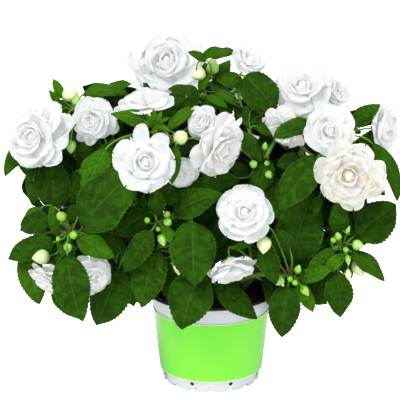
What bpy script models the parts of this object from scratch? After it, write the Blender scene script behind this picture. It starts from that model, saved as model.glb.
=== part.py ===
"""A double-flowered busy lizzie in its 11 cm nursery pot, as separate named solids.

Lengths in the tables are millimetres. The origin is the middle of the pot's foot, +Z is up,
and the side that faces -Y is the front. The plant's places were read off a 400 x 400 picture:
seen(x, y, depth) turns a pixel of it, and a depth along +Y, into a point of the model.
"""

import math
from collections import namedtuple

import bmesh
import bpy
from mathutils import Matrix, Vector

MM = 0.001
GAP = 0.3

# The eye that the pixels belong to: its place, its downward pitch and its focal length in pixels
EYE = Vector((-9.6, -900.0, 380.0))
PITCH = math.radians(13.95)
FOCAL_PIXELS = 1104.0
PICTURE_CENTRE = 200.0

# The pot
POT_SIDES = 56
WALL = 1.2
POT_HEIGHT = 80.0
RIM_RADIUS = 55.0
RIM_ROLL = 1.5
RIM_ARC = (-60, -10, 40, 90, 140, 180)
LABEL_TOP, LABEL_TOP_RADIUS = 63.4, 49.2
LABEL_BOTTOM, LABEL_BOTTOM_RADIUS = 10.6, 43.7
FLOOR_TOP, FLOOR_UNDERSIDE = 4.8, 2.4
PAD_RADIUS = 14.0
FOOT_RADIUS = 41.2
FOOT_BAND = 4.5
BEVEL = 1.0
NOTCHES = 8
NOTCH_WIDTH, NOTCH_HEIGHT = 9.0, 2.0
DRAIN_RADIUS, DRAIN_HEIGHT, DRAIN_SIDES = 1.6, 7.4, 8
LABEL_THICKNESS = 0.4

# The compost
SOIL_TOP = 67.0
SOIL_CROWN_RADIUS = 32.0
SOIL_EDGE_DROP = 1.5
SOIL_SIDES = 32

# The growth. An outline or section holds (share along the axis, share of the half width).
STEM_SIDES = 8
STEM_STATIONS = 11
STEM_RISE = 34.0
STEM_TIP_RADIUS = 1.7
LEAFY_FROM = 0.45
SEARCH_STEPS = 40
STALK_RADIUS = 1.0
STALK_STATIONS = 4
STALK_BEND = 0.45
LEAF_THICKNESS = 1.6
LEAF_LEAST_HALF_WIDTH = 0.8
LEAF_FOLD = 0.12
BLADE_OUTLINE = (
    (0.0, 0.05),
    (0.1, 0.48),
    (0.25, 0.87),
    (0.42, 1.0),
    (0.6, 0.86),
    (0.78, 0.5),
    (0.92, 0.17),
    (1.0, 0.0),
)
FRONT_FACE = (0.0, -0.8, 0.6)
FLOWER_SIDES = 10
FLOWER_LOBE = 0.09
FLOWER_SECTION = ((-0.8, 0.12), (-0.55, 0.5), (0.0, 1.0), (0.35, 0.93), (0.7, 0.58), (0.85, 0.08))
BUD_SECTION = ((0.0, 0.2), (0.15, 0.72), (0.4, 1.0), (0.7, 0.82), (0.92, 0.4), (1.0, 0.1))
SHARP_ANGLE = math.radians(35)

WHITE = (0.86, 0.88, 0.88, 1.0)
LIME_PRINT = (0.30, 0.84, 0.10, 1.0)
COMPOST_BROWN = (0.035, 0.020, 0.012, 1.0)
STEM_GREEN = (0.16, 0.30, 0.07, 1.0)
LEAF_GREEN = (0.030, 0.150, 0.012, 1.0)
PETAL_WHITE = (0.90, 0.88, 0.85, 1.0)
BUD_CREAM = (0.72, 0.78, 0.42, 1.0)

Stem = namedtuple("Stem", "name foot bend tip foot_radius")
Leaf = namedtuple("Leaf", "name stem base tip width face arch", defaults=(None, 0.10))
Flower = namedtuple("Flower", "name stem centre face diameter depth", defaults=(0.55,))
Bud = namedtuple("Bud", "name stem centre axis length width")


def seen(x, y, depth):
    """The point at this depth along +Y that shows at pixel (x, y)."""
    side = (x - PICTURE_CENTRE) / FOCAL_PIXELS
    rise = (PICTURE_CENTRE - y) / FOCAL_PIXELS
    forward = math.cos(PITCH) + rise * math.sin(PITCH)
    upward = rise * math.cos(PITCH) - math.sin(PITCH)
    reach = (depth - EYE.y) / forward
    return Vector((EYE.x + reach * side, depth, EYE.z + reach * upward))


def at(x, y, z):
    return Vector((x, y, z))


STEMS = (
    Stem("stem_front_left", (-20, -12), (-38, -42, 116), seen(72, 231, -60), 3.0),
    Stem("stem_front_middle", (-8, -20), (-24, -52, 118), seen(157, 222, -68), 2.8),
    Stem("stem_upper_middle", (-9, -6), (-22, -22, 160), seen(160, 132, -36), 2.8),
    Stem("stem_top", (0, 4), (0, 4, 170), seen(203, 84, 6), 3.0),
    Stem("stem_right_middle", (11, -8), (24, -14, 130), seen(262, 168, -28), 2.6),
    Stem("stem_low_right", (16, -20), (36, -44, 106), seen(290, 275, -60), 2.6),
    Stem("stem_front_right", (24, -10), (60, -34, 110), seen(343, 246, -52), 2.8),
    Stem("stem_upper_left", (-20, 5), (-62, 2, 150), seen(74, 108, -14), 3.0),
    Stem("stem_upper_right", (20, 6), (60, 4, 150), seen(342, 137, -20), 3.0),
    Stem("stem_back_left", (-13, 18), (-44, 44, 130), at(-88, 78, 196), 2.8),
    Stem("stem_back_middle", (1, 21), (4, 56, 130), at(8, 96, 214), 2.8),
    Stem("stem_back_right", (14, 17), (48, 46, 130), at(92, 80, 200), 2.8),
)

LEAVES = (
    Leaf("leaf_left_broad", "stem_front_left", seen(82, 228, -74), seen(141, 170, -78), 47),
    Leaf("leaf_left_front", "stem_front_left", seen(70, 254, -92), seen(81, 321, -98), 28),
    Leaf("leaf_left_low", "stem_front_left", seen(113, 268, -54), seen(96, 324, -60), 32),
    Leaf("leaf_left_point", "stem_front_left", seen(55, 242, -66), seen(8, 259, -66), 23),
    Leaf("leaf_left_side", "stem_front_left", seen(50, 218, -56), seen(20, 230, -50), 22),
    Leaf("leaf_left_upright", "stem_front_left", seen(54, 210, -42), seen(51, 156, -30), 31),
    Leaf("leaf_left_lime", "stem_upper_middle", seen(106, 149, -50), seen(82, 193, -60), 25),
    Leaf("leaf_middle_large", "stem_front_middle", seen(192, 221, -84), seen(195, 285, -98), 40),
    Leaf("leaf_middle_folded", "stem_front_middle", seen(158, 248, -76), seen(141, 307, -78), 30),
    Leaf("leaf_middle_left", "stem_front_middle", seen(152, 230, -84), seen(124, 272, -84), 21),
    Leaf("leaf_middle_right", "stem_front_middle", seen(173, 215, -76), seen(222, 194, -80), 25),
    Leaf("leaf_over_pot", "stem_front_middle", seen(200, 273, -70), seen(183, 329, -84), 37),
    Leaf("leaf_over_rim", "stem_low_right", seen(215, 284, -60), seen(257, 319, -66), 22),
    Leaf("leaf_right_dark", "stem_upper_right", seen(318, 157, -64), seen(278, 209, -74), 30),
    Leaf("leaf_right_broad", "stem_low_right", seen(292, 262, -54), seen(312, 195, -44), 44),
    Leaf("leaf_right_lifted", "stem_front_right", seen(353, 232, -56), seen(396, 200, -50), 33),
    Leaf("leaf_right_hanging", "stem_front_right", seen(338, 273, -66), seen(340, 316, -70), 23),
    Leaf("leaf_right_low", "stem_low_right", seen(288, 285, -76), seen(282, 337, -84), 28),
    Leaf("leaf_top_round", "stem_right_middle", seen(244, 82, -8), seen(277, 103, -18), 33),
    Leaf("leaf_top_arched", "stem_upper_left", seen(82, 95, -14), seen(129, 95, -10), 14, None, 0.3),
    Leaf("leaf_back_left", "stem_back_left", at(-104, 88, 190), at(-150, 112, 150), 38, (-0.6, 0.6, 0.5)),
    Leaf("leaf_back_left_low", "stem_back_left", at(-64, 96, 172), at(-74, 128, 118), 40, (-0.2, 0.9, 0.4)),
    Leaf("leaf_back_middle", "stem_back_middle", at(-16, 112, 190), at(-34, 140, 142), 40, (-0.1, 0.9, 0.4)),
    Leaf("leaf_back_middle_low", "stem_back_middle", at(30, 100, 150), at(38, 122, 92), 38, (0.1, 0.9, 0.3)),
    Leaf("leaf_back_right", "stem_back_right", at(112, 84, 192), at(156, 104, 152), 38, (0.6, 0.6, 0.5)),
    Leaf("leaf_back_right_low", "stem_back_right", at(86, 100, 172), at(96, 132, 118), 40, (0.2, 0.9, 0.4)),
)

FLOWERS = (
    Flower("flower_far_left", "stem_upper_left", seen(29, 136, -44), (-0.35, -0.85, 0.2), 52),
    Flower("flower_left", "stem_upper_left", seen(95, 120, -30), (-0.5, -0.75, -0.2), 42),
    Flower("flower_top", "stem_top", seen(167, 68, 12), (-0.3, -0.75, 0.6), 58),
    Flower("flower_edge_on", "stem_upper_middle", seen(146, 103, -34), (-0.1, -0.35, 0.93), 40, 0.4),
    Flower("flower_front", "stem_upper_middle", seen(144, 161, -92), (-0.15, -0.95, 0.15), 52),
    Flower("flower_middle", "stem_upper_middle", seen(212, 146, -62), (0.35, -0.85, -0.1), 50),
    Flower("flower_rose", "stem_low_right", seen(243, 212, -92), (0.0, -0.98, 0.1), 45),
    Flower("flower_drooping", "stem_low_right", seen(231, 267, -80), (-0.2, -0.35, -0.9), 36),
    Flower("flower_upper_right", "stem_upper_right", seen(303, 89, -4), (-0.1, -0.8, 0.55), 52),
    Flower("flower_shaded", "stem_upper_right", seen(286, 128, -40), (-0.5, -0.6, -0.5), 40),
    Flower("flower_right_rose", "stem_upper_right", seen(331, 130, -70), (0.1, -0.97, 0.1), 42),
    Flower("flower_aged", "stem_upper_right", seen(348, 174, -84), (-0.05, -0.97, -0.1), 50),
    Flower("flower_far_right", "stem_upper_right", seen(379, 132, -22), (0.85, -0.4, 0.15), 42),
    Flower("flower_low_left", "stem_front_left", seen(97, 275, -70), (0.35, -0.85, -0.3), 34),
    Flower("flower_back_left", "stem_back_left", at(-84, 108, 218), (-0.4, 0.8, 0.4), 52),
    Flower("flower_back_middle", "stem_back_middle", at(14, 128, 226), (0.0, 0.85, 0.5), 54),
    Flower("flower_back_right", "stem_back_right", at(88, 112, 222), (0.4, 0.8, 0.4), 52),
)

BUDS = (
    Bud("bud_upper_left", "stem_upper_left", seen(70, 93, -14), (-0.1, 0.0, 1.0), 15, 14),
    Bud("bud_front_right", "stem_front_right", seen(359, 268, -58), (0.3, -0.5, -0.8), 15, 13),
)


def clear_scene():
    for thing in list(bpy.data.objects):
        bpy.data.objects.remove(thing, do_unlink=True)


def material(name, colour, roughness, metallic=0.0):
    made = bpy.data.materials.new(name)
    made.use_nodes = True
    shader = made.node_tree.nodes["Principled BSDF"]
    shader.inputs["Base Color"].default_value = colour
    shader.inputs["Roughness"].default_value = roughness
    shader.inputs["Metallic"].default_value = metallic
    made.diffuse_color = colour
    return made


def object_from(name, shape, look):
    """A new object holding this bmesh, whose points are in millimetres."""
    bmesh.ops.scale(shape, vec=(MM, MM, MM), verts=shape.verts)
    bmesh.ops.recalc_face_normals(shape, faces=shape.faces)
    mesh = bpy.data.meshes.new(name)
    shape.to_mesh(mesh)
    shape.free()
    mesh.shade_smooth()
    mesh.set_sharp_from_angle(angle=SHARP_ANGLE)
    mesh.materials.append(look)
    made = bpy.data.objects.new(name, mesh)
    bpy.context.scene.collection.objects.link(made)
    return made


def join_rings(shape, rings):
    """The faces between each ring of vertices and the next."""
    for low, high in zip(rings, rings[1:]):
        count = len(low)
        for i in range(count):
            j = (i + 1) % count
            shape.faces.new((low[i], low[j], high[j], high[i]))


def turned(name, profile, sides, look):
    """A solid of revolution. The profile starts and ends on the axis and runs round the section."""
    shape = bmesh.new()
    first = shape.verts.new((0, 0, profile[0][1]))
    last = shape.verts.new((0, 0, profile[-1][1]))
    rings = []
    for radius, height in profile[1:-1]:
        angles = [math.tau * i / sides for i in range(sides)]
        places = [(radius * math.cos(a), radius * math.sin(a), height) for a in angles]
        rings.append([shape.verts.new(place) for place in places])
    join_rings(shape, rings)
    for i in range(sides):
        j = (i + 1) % sides
        shape.faces.new((first, rings[0][j], rings[0][i]))
        shape.faces.new((last, rings[-1][i], rings[-1][j]))
    return object_from(name, shape, look)


def swept(name, spine, outlines, up, look):
    """A solid along a line of points. Each outline holds (sideways, upward) offsets from its point."""
    shape = bmesh.new()
    rings = []
    for i, (centre, outline) in enumerate(zip(spine, outlines)):
        along = (spine[min(i + 1, len(spine) - 1)] - spine[max(i - 1, 0)]).normalized()
        side = along.cross(up).normalized()
        top = side.cross(along)
        rings.append([shape.verts.new(centre + side * a + top * b) for a, b in outline])
    join_rings(shape, rings)
    shape.faces.new(list(reversed(rings[0])))
    shape.faces.new(rings[-1])
    return object_from(name, shape, look)


def bezier(points, share):
    """The point at this share of the curve that these control points give."""
    while len(points) > 1:
        points = [a.lerp(b, share) for a, b in zip(points, points[1:])]
    return points[0]


def regular(radius, sides, lobe=0.0):
    """A ring of offsets. With a lobe, every second point is drawn in by that share."""
    ring = []
    for i in range(sides):
        angle = math.tau * i / sides
        reach = radius * (1.0 - lobe * (i % 2))
        ring.append((reach * math.cos(angle), reach * math.sin(angle)))
    return ring


def wall_radius(height):
    """The pot's outer radius behind the label, where its wall is a straight taper."""
    share = (height - LABEL_BOTTOM) / (LABEL_TOP - LABEL_BOTTOM)
    return LABEL_BOTTOM_RADIUS + share * (LABEL_TOP_RADIUS - LABEL_BOTTOM_RADIUS)


def around_pot(shape, vertices, angle):
    turn = Matrix.Rotation(angle, 3, "Z")
    bmesh.ops.rotate(shape, verts=vertices, cent=(0, 0, 0), matrix=turn)


def foot_notch_cutter(look):
    """The notches that break the foot ring into feet."""
    shape = bmesh.new()
    for i in range(NOTCHES):
        bar = bmesh.ops.create_cube(shape, size=1.0)["verts"]
        bmesh.ops.scale(shape, vec=(FOOT_BAND * 2, NOTCH_WIDTH, NOTCH_HEIGHT * 2), verts=bar)
        bmesh.ops.translate(shape, vec=(FOOT_RADIUS, 0, 0), verts=bar)
        around_pot(shape, bar, math.tau * (i + 0.5) / NOTCHES)
    return object_from("foot_notch_cutter", shape, look)


def drain_hole_cutter(look):
    """The small drain holes above every notch."""
    shape = bmesh.new()
    lying = Matrix.Rotation(math.pi / 2, 3, "Y")
    for i in range(NOTCHES):
        rod = bmesh.ops.create_cone(
            shape,
            segments=DRAIN_SIDES,
            radius1=DRAIN_RADIUS,
            radius2=DRAIN_RADIUS,
            depth=FOOT_BAND * 2,
            cap_ends=True,
        )["verts"]
        bmesh.ops.rotate(shape, verts=rod, cent=(0, 0, 0), matrix=lying)
        bmesh.ops.translate(shape, vec=(FOOT_RADIUS, 0, DRAIN_HEIGHT), verts=rod)
        around_pot(shape, rod, math.tau * (i + 0.5) / NOTCHES)
    return object_from("drain_hole_cutter", shape, look)


def rim_roll():
    """The section of the rolled rim, from under its outer edge over its top to its inner edge."""
    angles = [math.radians(degrees) for degrees in RIM_ARC]
    middle = (RIM_RADIUS - RIM_ROLL, POT_HEIGHT - RIM_ROLL)
    return [(middle[0] + RIM_ROLL * math.cos(a), middle[1] + RIM_ROLL * math.sin(a)) for a in angles]


def make_pot():
    """A thin tapered pot on a notched foot ring, with a rolled rim and a pad under its middle."""
    plastic = material("pot_plastic", WHITE, 0.35)
    neck = POT_HEIGHT - RIM_ROLL * 2
    flare_foot = LABEL_TOP + BEVEL
    foot_inside = FOOT_RADIUS - FOOT_BAND
    inside_floor = wall_radius(FLOOR_TOP) - WALL
    profile = [
        (0, 0),
        (PAD_RADIUS, 0),
        (PAD_RADIUS + BEVEL, FLOOR_UNDERSIDE),
        (foot_inside, FLOOR_UNDERSIDE),
        (foot_inside + BEVEL, 0),
        (FOOT_RADIUS, 0),
        (FOOT_RADIUS + BEVEL, BEVEL),
        (LABEL_BOTTOM_RADIUS - BEVEL, LABEL_BOTTOM - BEVEL * 2),
        (wall_radius(LABEL_BOTTOM - BEVEL), LABEL_BOTTOM - BEVEL),
        (wall_radius(flare_foot), flare_foot),
        (RIM_RADIUS - RIM_ROLL, neck),
        *rim_roll(),
        (RIM_RADIUS - RIM_ROLL - WALL, neck),
        (wall_radius(flare_foot) - WALL, flare_foot),
        (inside_floor, FLOOR_TOP + BEVEL),
        (inside_floor - BEVEL, FLOOR_TOP),
        (0, FLOOR_TOP),
    ]
    pot = turned("pot", profile, POT_SIDES, plastic)
    for cutter in (foot_notch_cutter(plastic), drain_hole_cutter(plastic)):
        cutter.hide_render = True
        cutter.display_type = "WIRE"
        boolean = pot.modifiers.new(cutter.name, "BOOLEAN")
        boolean.operation = "DIFFERENCE"
        boolean.solver = "EXACT"
        boolean.object = cutter
    return pot


def make_label():
    """The printed band that wraps the wall, as a thin closed ring."""
    shape = bmesh.new()
    low, high = LABEL_BOTTOM, LABEL_TOP
    section = [
        (wall_radius(low) + GAP, low),
        (wall_radius(low) + GAP + LABEL_THICKNESS, low),
        (wall_radius(high) + GAP + LABEL_THICKNESS, high),
        (wall_radius(high) + GAP, high),
    ]
    rings = []
    for i in range(POT_SIDES):
        angle = math.tau * i / POT_SIDES
        rings.append([shape.verts.new((r * math.cos(angle), r * math.sin(angle), z)) for r, z in section])
    join_rings(shape, rings + [rings[0]])
    return object_from("label_band", shape, material("label_print", LIME_PRINT, 0.4))


def make_soil():
    """The compost that fills the pot to a little under its rim."""
    top_radius = LABEL_TOP_RADIUS - WALL - GAP
    bottom_radius = wall_radius(FLOOR_TOP) - WALL - GAP
    profile = [
        (0, FLOOR_TOP + GAP),
        (bottom_radius - BEVEL, FLOOR_TOP + GAP),
        (bottom_radius, FLOOR_TOP + GAP + BEVEL),
        (top_radius, LABEL_TOP),
        (top_radius, SOIL_TOP - SOIL_EDGE_DROP),
        (SOIL_CROWN_RADIUS, SOIL_TOP),
        (0, SOIL_TOP),
    ]
    return turned("soil", profile, SOIL_SIDES, material("compost", COMPOST_BROWN, 0.95))


def stem_curve(stem):
    """The four control points of a stem, which leaves the compost upright."""
    foot = at(stem.foot[0], stem.foot[1], SOIL_TOP + 2 * GAP)
    return [foot, foot + at(0, 0, STEM_RISE), at(*stem.bend), stem.tip]


def make_stem(stem, look):
    control = stem_curve(stem)
    shares = [i / (STEM_STATIONS - 1) for i in range(STEM_STATIONS)]
    spine = [bezier(control, share) for share in shares]
    outlines = [regular(stem_radius(stem, share), STEM_SIDES) for share in shares]
    across = (stem.tip - control[0]).cross(at(0, 0, 1))
    return swept(stem.name, spine, outlines, across, look)


def stem_radius(stem, share):
    return stem.foot_radius + share * (STEM_TIP_RADIUS - stem.foot_radius)


def nearest_on_stem(stem, place):
    """The point of the stem's upper half that is nearest to this place, and its radius there."""
    control = stem_curve(stem)
    shares = [LEAFY_FROM + (1 - LEAFY_FROM) * i / SEARCH_STEPS for i in range(SEARCH_STEPS + 1)]
    best = min(shares, key=lambda share: (bezier(control, share) - place).length)
    return bezier(control, best), stem_radius(stem, best)


def stalk(stem, end, heading):
    """Points from beside the stem nearly to end, arriving there along heading."""
    axis, radius = nearest_on_stem(stem, end)
    way = end - axis
    root = axis + way.normalized() * min(radius + STALK_RADIUS + GAP, way.length / 2)
    bend = end - heading * ((end - root).length * STALK_BEND)
    return [bezier([root, bend, end], i / STALK_STATIONS) for i in range(STALK_STATIONS)]


def make_leaf(leaf, stem, look):
    """A thin folded blade on its stalk. Its section is a flat diamond that follows the arch."""
    axis = leaf.tip - leaf.base
    length = axis.length
    face = Vector(leaf.face or FRONT_FACE)
    face = (face - axis * (face.dot(axis) / axis.dot(axis))).normalized()
    crest = leaf.base.lerp(leaf.tip, 0.5) + face * (2 * leaf.arch * length)
    heading = (crest - leaf.base).normalized()
    spine = stalk(stem, leaf.base, heading)
    widths = [STALK_RADIUS] * len(spine)
    for share, width_share in BLADE_OUTLINE:
        spine.append(bezier([leaf.base, crest, leaf.tip], share))
        widths.append(max(LEAF_LEAST_HALF_WIDTH, leaf.width / 2 * width_share))
    outlines = []
    for half in widths:
        fold = LEAF_FOLD * (half - LEAF_LEAST_HALF_WIDTH)
        outlines.append([(half, fold), (0, LEAF_THICKNESS / 2), (-half, fold), (0, -LEAF_THICKNESS / 2)])
    return swept(leaf.name, spine, outlines, face, look)


def make_flower(flower, stem, look):
    """A lobed rosette on its stalk, facing along flower.face."""
    face = Vector(flower.face).normalized()
    radius = flower.diameter * 0.5
    back = flower.centre + face * (FLOWER_SECTION[0][0] * radius * flower.depth)
    spine = stalk(stem, back, face)
    outlines = [regular(STALK_RADIUS, FLOWER_SIDES)] * len(spine)
    for height, reach in FLOWER_SECTION:
        spine.append(flower.centre + face * (height * radius * flower.depth))
        outlines.append(regular(reach * radius, FLOWER_SIDES, FLOWER_LOBE * reach))
    across = (back - spine[0]).cross(face)
    return swept(flower.name, spine, outlines, across, look)


def make_bud(bud, stem, look):
    axis = Vector(bud.axis).normalized()
    back = bud.centre - axis * (bud.length * 0.5)
    spine = stalk(stem, back, axis)
    outlines = [regular(STALK_RADIUS, FLOWER_SIDES)] * len(spine)
    for share, reach in BUD_SECTION:
        spine.append(back + axis * (share * bud.length))
        outlines.append(regular(reach * bud.width * 0.5, FLOWER_SIDES))
    across = (back - spine[0]).cross(axis)
    return swept(bud.name, spine, outlines, across, look)


def main():
    clear_scene()
    make_pot()
    make_label()
    make_soil()
    stems = {stem.name: stem for stem in STEMS}
    for stem in STEMS:
        make_stem(stem, material(stem.name, STEM_GREEN, 0.45))
    for leaf in LEAVES:
        make_leaf(leaf, stems[leaf.stem], material(leaf.name, LEAF_GREEN, 0.4))
    for flower in FLOWERS:
        make_flower(flower, stems[flower.stem], material(flower.name, PETAL_WHITE, 0.6))
    for bud in BUDS:
        make_bud(bud, stems[bud.stem], material(bud.name, BUD_CREAM, 0.5))


main()
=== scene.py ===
"""The looks of a double-flowered busy lizzie in its nursery pot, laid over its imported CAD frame.

Lengths in the tables are millimetres, and angles are degrees. seen(x, y, depth) gives the point at
a depth along +Y that shows at pixel (x, y) of a 400 x 400 picture. A name in a table leaves out the
kind: the leaf "left_broad" stands for the node leaf_left_broad, and it grows on a stem named in the
same way. A share runs from 0 to 1 along or across a growth.
"""

import math
from collections import namedtuple
from functools import lru_cache

import bmesh
import bpy
import numpy as np
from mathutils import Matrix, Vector, noise


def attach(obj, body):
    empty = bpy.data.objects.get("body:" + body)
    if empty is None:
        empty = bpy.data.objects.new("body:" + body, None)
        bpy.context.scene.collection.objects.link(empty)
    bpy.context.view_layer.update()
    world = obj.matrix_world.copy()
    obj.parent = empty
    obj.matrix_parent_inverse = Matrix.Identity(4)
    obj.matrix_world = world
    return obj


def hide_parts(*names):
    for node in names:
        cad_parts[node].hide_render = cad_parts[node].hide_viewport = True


MM = 0.001
SEED = 7

# The eye that the pixels belong to, and the picture that it sees
EYE = np.array((-9.6, -900.0, 380.0))
PITCH = math.radians(13.95)
FOCAL_PIXELS = 1104.0
PICTURE_SIZE = 400.0
SENSOR_WIDTH = 36.0
NEAREST_SHOWN, FARTHEST_SHOWN = 0.05, 50.0

# The studio. A lamp is its name, place, width in metres and power in watts.
LAMPS = (
    ("key_light", (-700, -1100, 1400), 0.6, 17),
    ("fill_light", (1200, -1000, 700), 1.4, 7),
    ("front_light", (-300, -2000, 600), 1.6, 9),
    ("top_light", (300, 1000, 1400), 1.2, 9),
    ("backdrop_light", (0, 1700, 450), 2.6, 12),
)
LAMP_TARGET = (0, 0, 150)
WORLD_SHOWN, WORLD_LIGHT = 1.0, 0.36
FLOOR_REACH = 6000.0
FLOOR_GLOW = 0.6
HIGHLIGHT_CURVE = ((0.30, 0.30), (0.50, 0.58), (0.65, 0.735), (0.85, 0.86))

# The pot
WALL = 1.2
POT_HEIGHT = 80.0
POT_SIDES = 240
RIM_RADIUS = 55.0
RIM_ROLL = 1.5
RIM_ANGLES = range(-80, 181, 20)
FLOOR_TOP, FLOOR_UNDERSIDE = 4.8, 2.4
PAD_RADIUS = 14.0
FOOT_RADIUS = 41.2
FOOT_BAND = 4.5
FOOT_FLARE = 0.4
BEVEL = 1.0
ARC_POINTS = 4
NOTCHES = 16
NOTCH_HALF_ANGLE = 4.5
NOTCH_SLOPE = 2.5
NOTCH_HEIGHT = 2.6
DRAINS = 8
DRAIN_RADIUS, DRAIN_HEIGHT = 1.6, 7.4
DRAIN_SIDES = 24

# The printed band, with its overlap at the back
LABEL_TOP, LABEL_TOP_RADIUS = 63.4, 49.2
LABEL_BOTTOM, LABEL_BOTTOM_RADIUS = 10.6, 43.7
LABEL_GAP = 0.3
LABEL_THICKNESS = 0.4
# A pale line along the film's top and bottom edges, a painted highlight: it fades out between these
# distances from the edge
EDGE_HIGHLIGHT = (0.9, 0.3)
OVERLAP_START = math.radians(90)
OVERLAP_STEP = math.radians(1.5)
OVERLAP_SPAN, OVERLAP_FADE = 0.25, 0.12
OVERLAP_LIFT = 0.22

# The compost. A layer of crumbs is its pitch, its place in the noise and its height.
SOIL_TOP = 67.0
SOIL_SINK = 1.2
SOIL_CROWN, SOIL_REACH = 1.5, 48.0
SOIL_SIDES, SOIL_RINGS = 150, 44
SOIL_FLOOR_GAP, SOIL_WALL_GAP = 0.3, 0.25
SOIL_SHOULDER = 4
CRUMB_LAYERS = ((0.11, 3.0, 1.0), (0.33, 7.0, 0.9), (0.9, 11.0, 0.6))
GRAIN_COUNT = 34
GRAIN_REACH = 46.0
GRAIN_SIZES = (0.9, 1.9)
GRAIN_DENTS = 0.3
GRAIN_HEIGHT, GRAIN_LIFT = 0.75, 0.2

# Stems, side shoots and stalks
STEM_DEPTH = 2.0
STEM_RISE = 36.6
STEM_TIP_RADIUS = 1.7
STEM_POINTS, STEM_SIDES = 80, 12
STEM_KNUCKLES, STEM_SWELLING = 7, 0.22
SHOOT_RADIUS, SHOOT_TAPER = 2.0, 0.7
SHOOT_BEND = 0.4
SHOOT_POINTS, SHOOT_SIDES = 28, 9
SHOOT_KNUCKLES, SHOOT_SWELLING = 3, 0.25
FORK_DROP, FORK_WEIGHT = 20.0, 0.5
KNUCKLE_SPREAD = 0.09
LEAFY_FROM = 0.45
FORKS_FROM = 0.36
STALK_RADIUS, THIN_STALK_RADIUS, FINEST_STALK_RADIUS = 1.0, 0.75, 0.25
STALK_PER_LEAF, STALK_PER_BUD = 0.03, 0.05
STALK_FOOT, STALK_TAPER = 1.25, 0.35
STALK_BEND = 0.45
STALK_OVERLAP = 1.5
STALK_POINTS, STALK_SIDES = 9, 7

# Leaves. A pair in brackets is a range that chance picks from.
FRONT_FACE = (0.0, -0.8, 0.6)
LEAF_THICKNESS = 0.5
LEAF_COLUMNS, SMALL_LEAF_COLUMNS, FILL_LEAF_COLUMNS = 15, 9, 7
SMALL_LEAF_LENGTH = 32.0
LEAF_WIDENING, LEAF_NARROWING, LEAF_PEAK = 0.66, 0.88, 0.3875
LEAF_LEAST = 0.02
LEAF_SWAY = 0.07
LEAF_FOLD = (0.06, 0.22)
LEAF_WAVE = (0.08, 0.18)
LEAF_DOME = 0.22
WAVE_TURNS, WAVE_OFFSET, WAVE_POWER = 1.7, 0.28, 2.5
VEIN_PAIRS = 6.5
VEIN_ARCH, VEIN_BOW = 0.20, 1.4
QUILT_HEIGHT, QUILT_STEEPNESS = 0.030, 2.6
EDGE_FADE, TIP_FADE = 4, 5
GROOVE_DEPTH, GROOVE_WIDTH = 0.012, 0.09
TOOTH_PITCH = 3.0
TOOTH_DEPTH, TOOTH_POWER = 0.08, 6
TOOTH_RISE = 0.85
FEWEST_TEETH = 6

# Petals, buds and sepals. The chances of lean, curl and turn are degrees either way.
PETAL_THICKNESS = 0.35
PETAL_ROWS, PETAL_COLUMNS = 11, 11
PETAL_LENGTHS = (0.82, 1.06)
PETAL_WIDTHS = (0.90, 1.08)
PETAL_WIDEST = (0.52, 0.76)
PETAL_BLUNTNESS = (1.7, 3.2)
PETAL_FOOT, PETAL_LEAST = 0.25, 0.07
PETAL_WIDENING, PETAL_BENDING, PETAL_END = 1.15, 1.3, 6
ROW_CROWDING = 1.5
LEAN_CHANCE, CURL_CHANCE, TURN_CHANCE = 8, 12, 11
PETAL_SKEW = 0.12
FRILLS, FRILL_AT_MIDDLE = (3.5, 6.0), 0.35
NOTCH_DEPTH, NOTCH_WIDTH, NOTCH_CHANCE = 0.05, 0.28, 0.2
CRIMP_DEPTH, CRIMPS = 0.026, 9
CORE_ROWS, CORE_SIDES = 14, 26
CORE_RADIUS, CORE_HEIGHT, CORE_SINK = 0.20, 0.50, 0.10
CORE_WINDING, CORE_BLUNTNESS = 4.2, 3.2
CORE_WAIST, CORE_SWELL, CORE_LEAST = 0.7, 0.3, 0.04
CORE_SEAM, CORE_RIDGE = 0.28, 0.05
SEPAL_ROWS, SEPAL_COLUMNS = 6, 5
SEPAL_COUNT, SEPAL_CURL = 3, 25
SEPAL_LENGTH, BUD_SEPAL_LENGTH = 0.2, 0.5
FLOWER_BACK, BUD_BACK = 0.17, 0.46
BUD_ROWS, BUD_SIDES = 12, 15
BUD_WINDING, BUD_SEAM = 2.2, 0.07
BUD_BELLY, BUD_FULLNESS, BUD_TAPER, BUD_LEAST = 0.85, 0.75, 0.25, 0.05

# The leaves that fill the mound
FILL_FRONT = -54.0
FILL_TRIES = 16
FLOWER_CLEARANCE = 0.62
STEM_FILL = 7
MOUND_MIDDLE = (0, 15, 30)
GOLDEN_ANGLE = 137.5
TIP_LEAF_SIZE, LEAF_GROWTH, GROWTH_STEPS = 0.62, 0.5, 3
TIP_YOUTH, YOUNG_LEAVES = 0.35, 2
STALK_DROOP, LEAF_DROOP = 0.3, 0.35
FILL_STALK = 0.25
FILL_SIZES = (0.9, 1.1)
FILL_YOUTHS = (0.0, 0.06)
FILL_SPREADS = (0.05, 0.4)
FILL_WIDTHS = (0.54, 0.64)
FILL_ARCHES = (0.08, 0.16)
# Fill leaves take only the darker part of the tone range: painted shade for the leaves deep in the mound
FILL_SHADE_TONE = 0.4
SHARP_ANGLE = math.radians(55)

Stem = namedtuple("Stem", "name foot bend tip foot_radius")
Leaf = namedtuple("Leaf", "name stem base tip width face arch youth", defaults=(None, 0.10, 0.02))
Flower = namedtuple("Flower", "name stem centre face diameter habit spin")
Bud = namedtuple("Bud", "name stem centre axis length width youth")
Shoot = namedtuple("Shoot", "stem tip leaves size span fresh", defaults=(0.42, 1.0))
Ring = namedtuple("Ring", "count length width lean curl cup ruffle root height")

# The ruffle, root and height of an outer petal, and the cup, ruffle, root and height of a sepal
OUTER_FORM = (0.05, 0.08, -0.24)
SEPAL_FORM = (0.7, 0.02, 0.12, 0.0)


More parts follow.
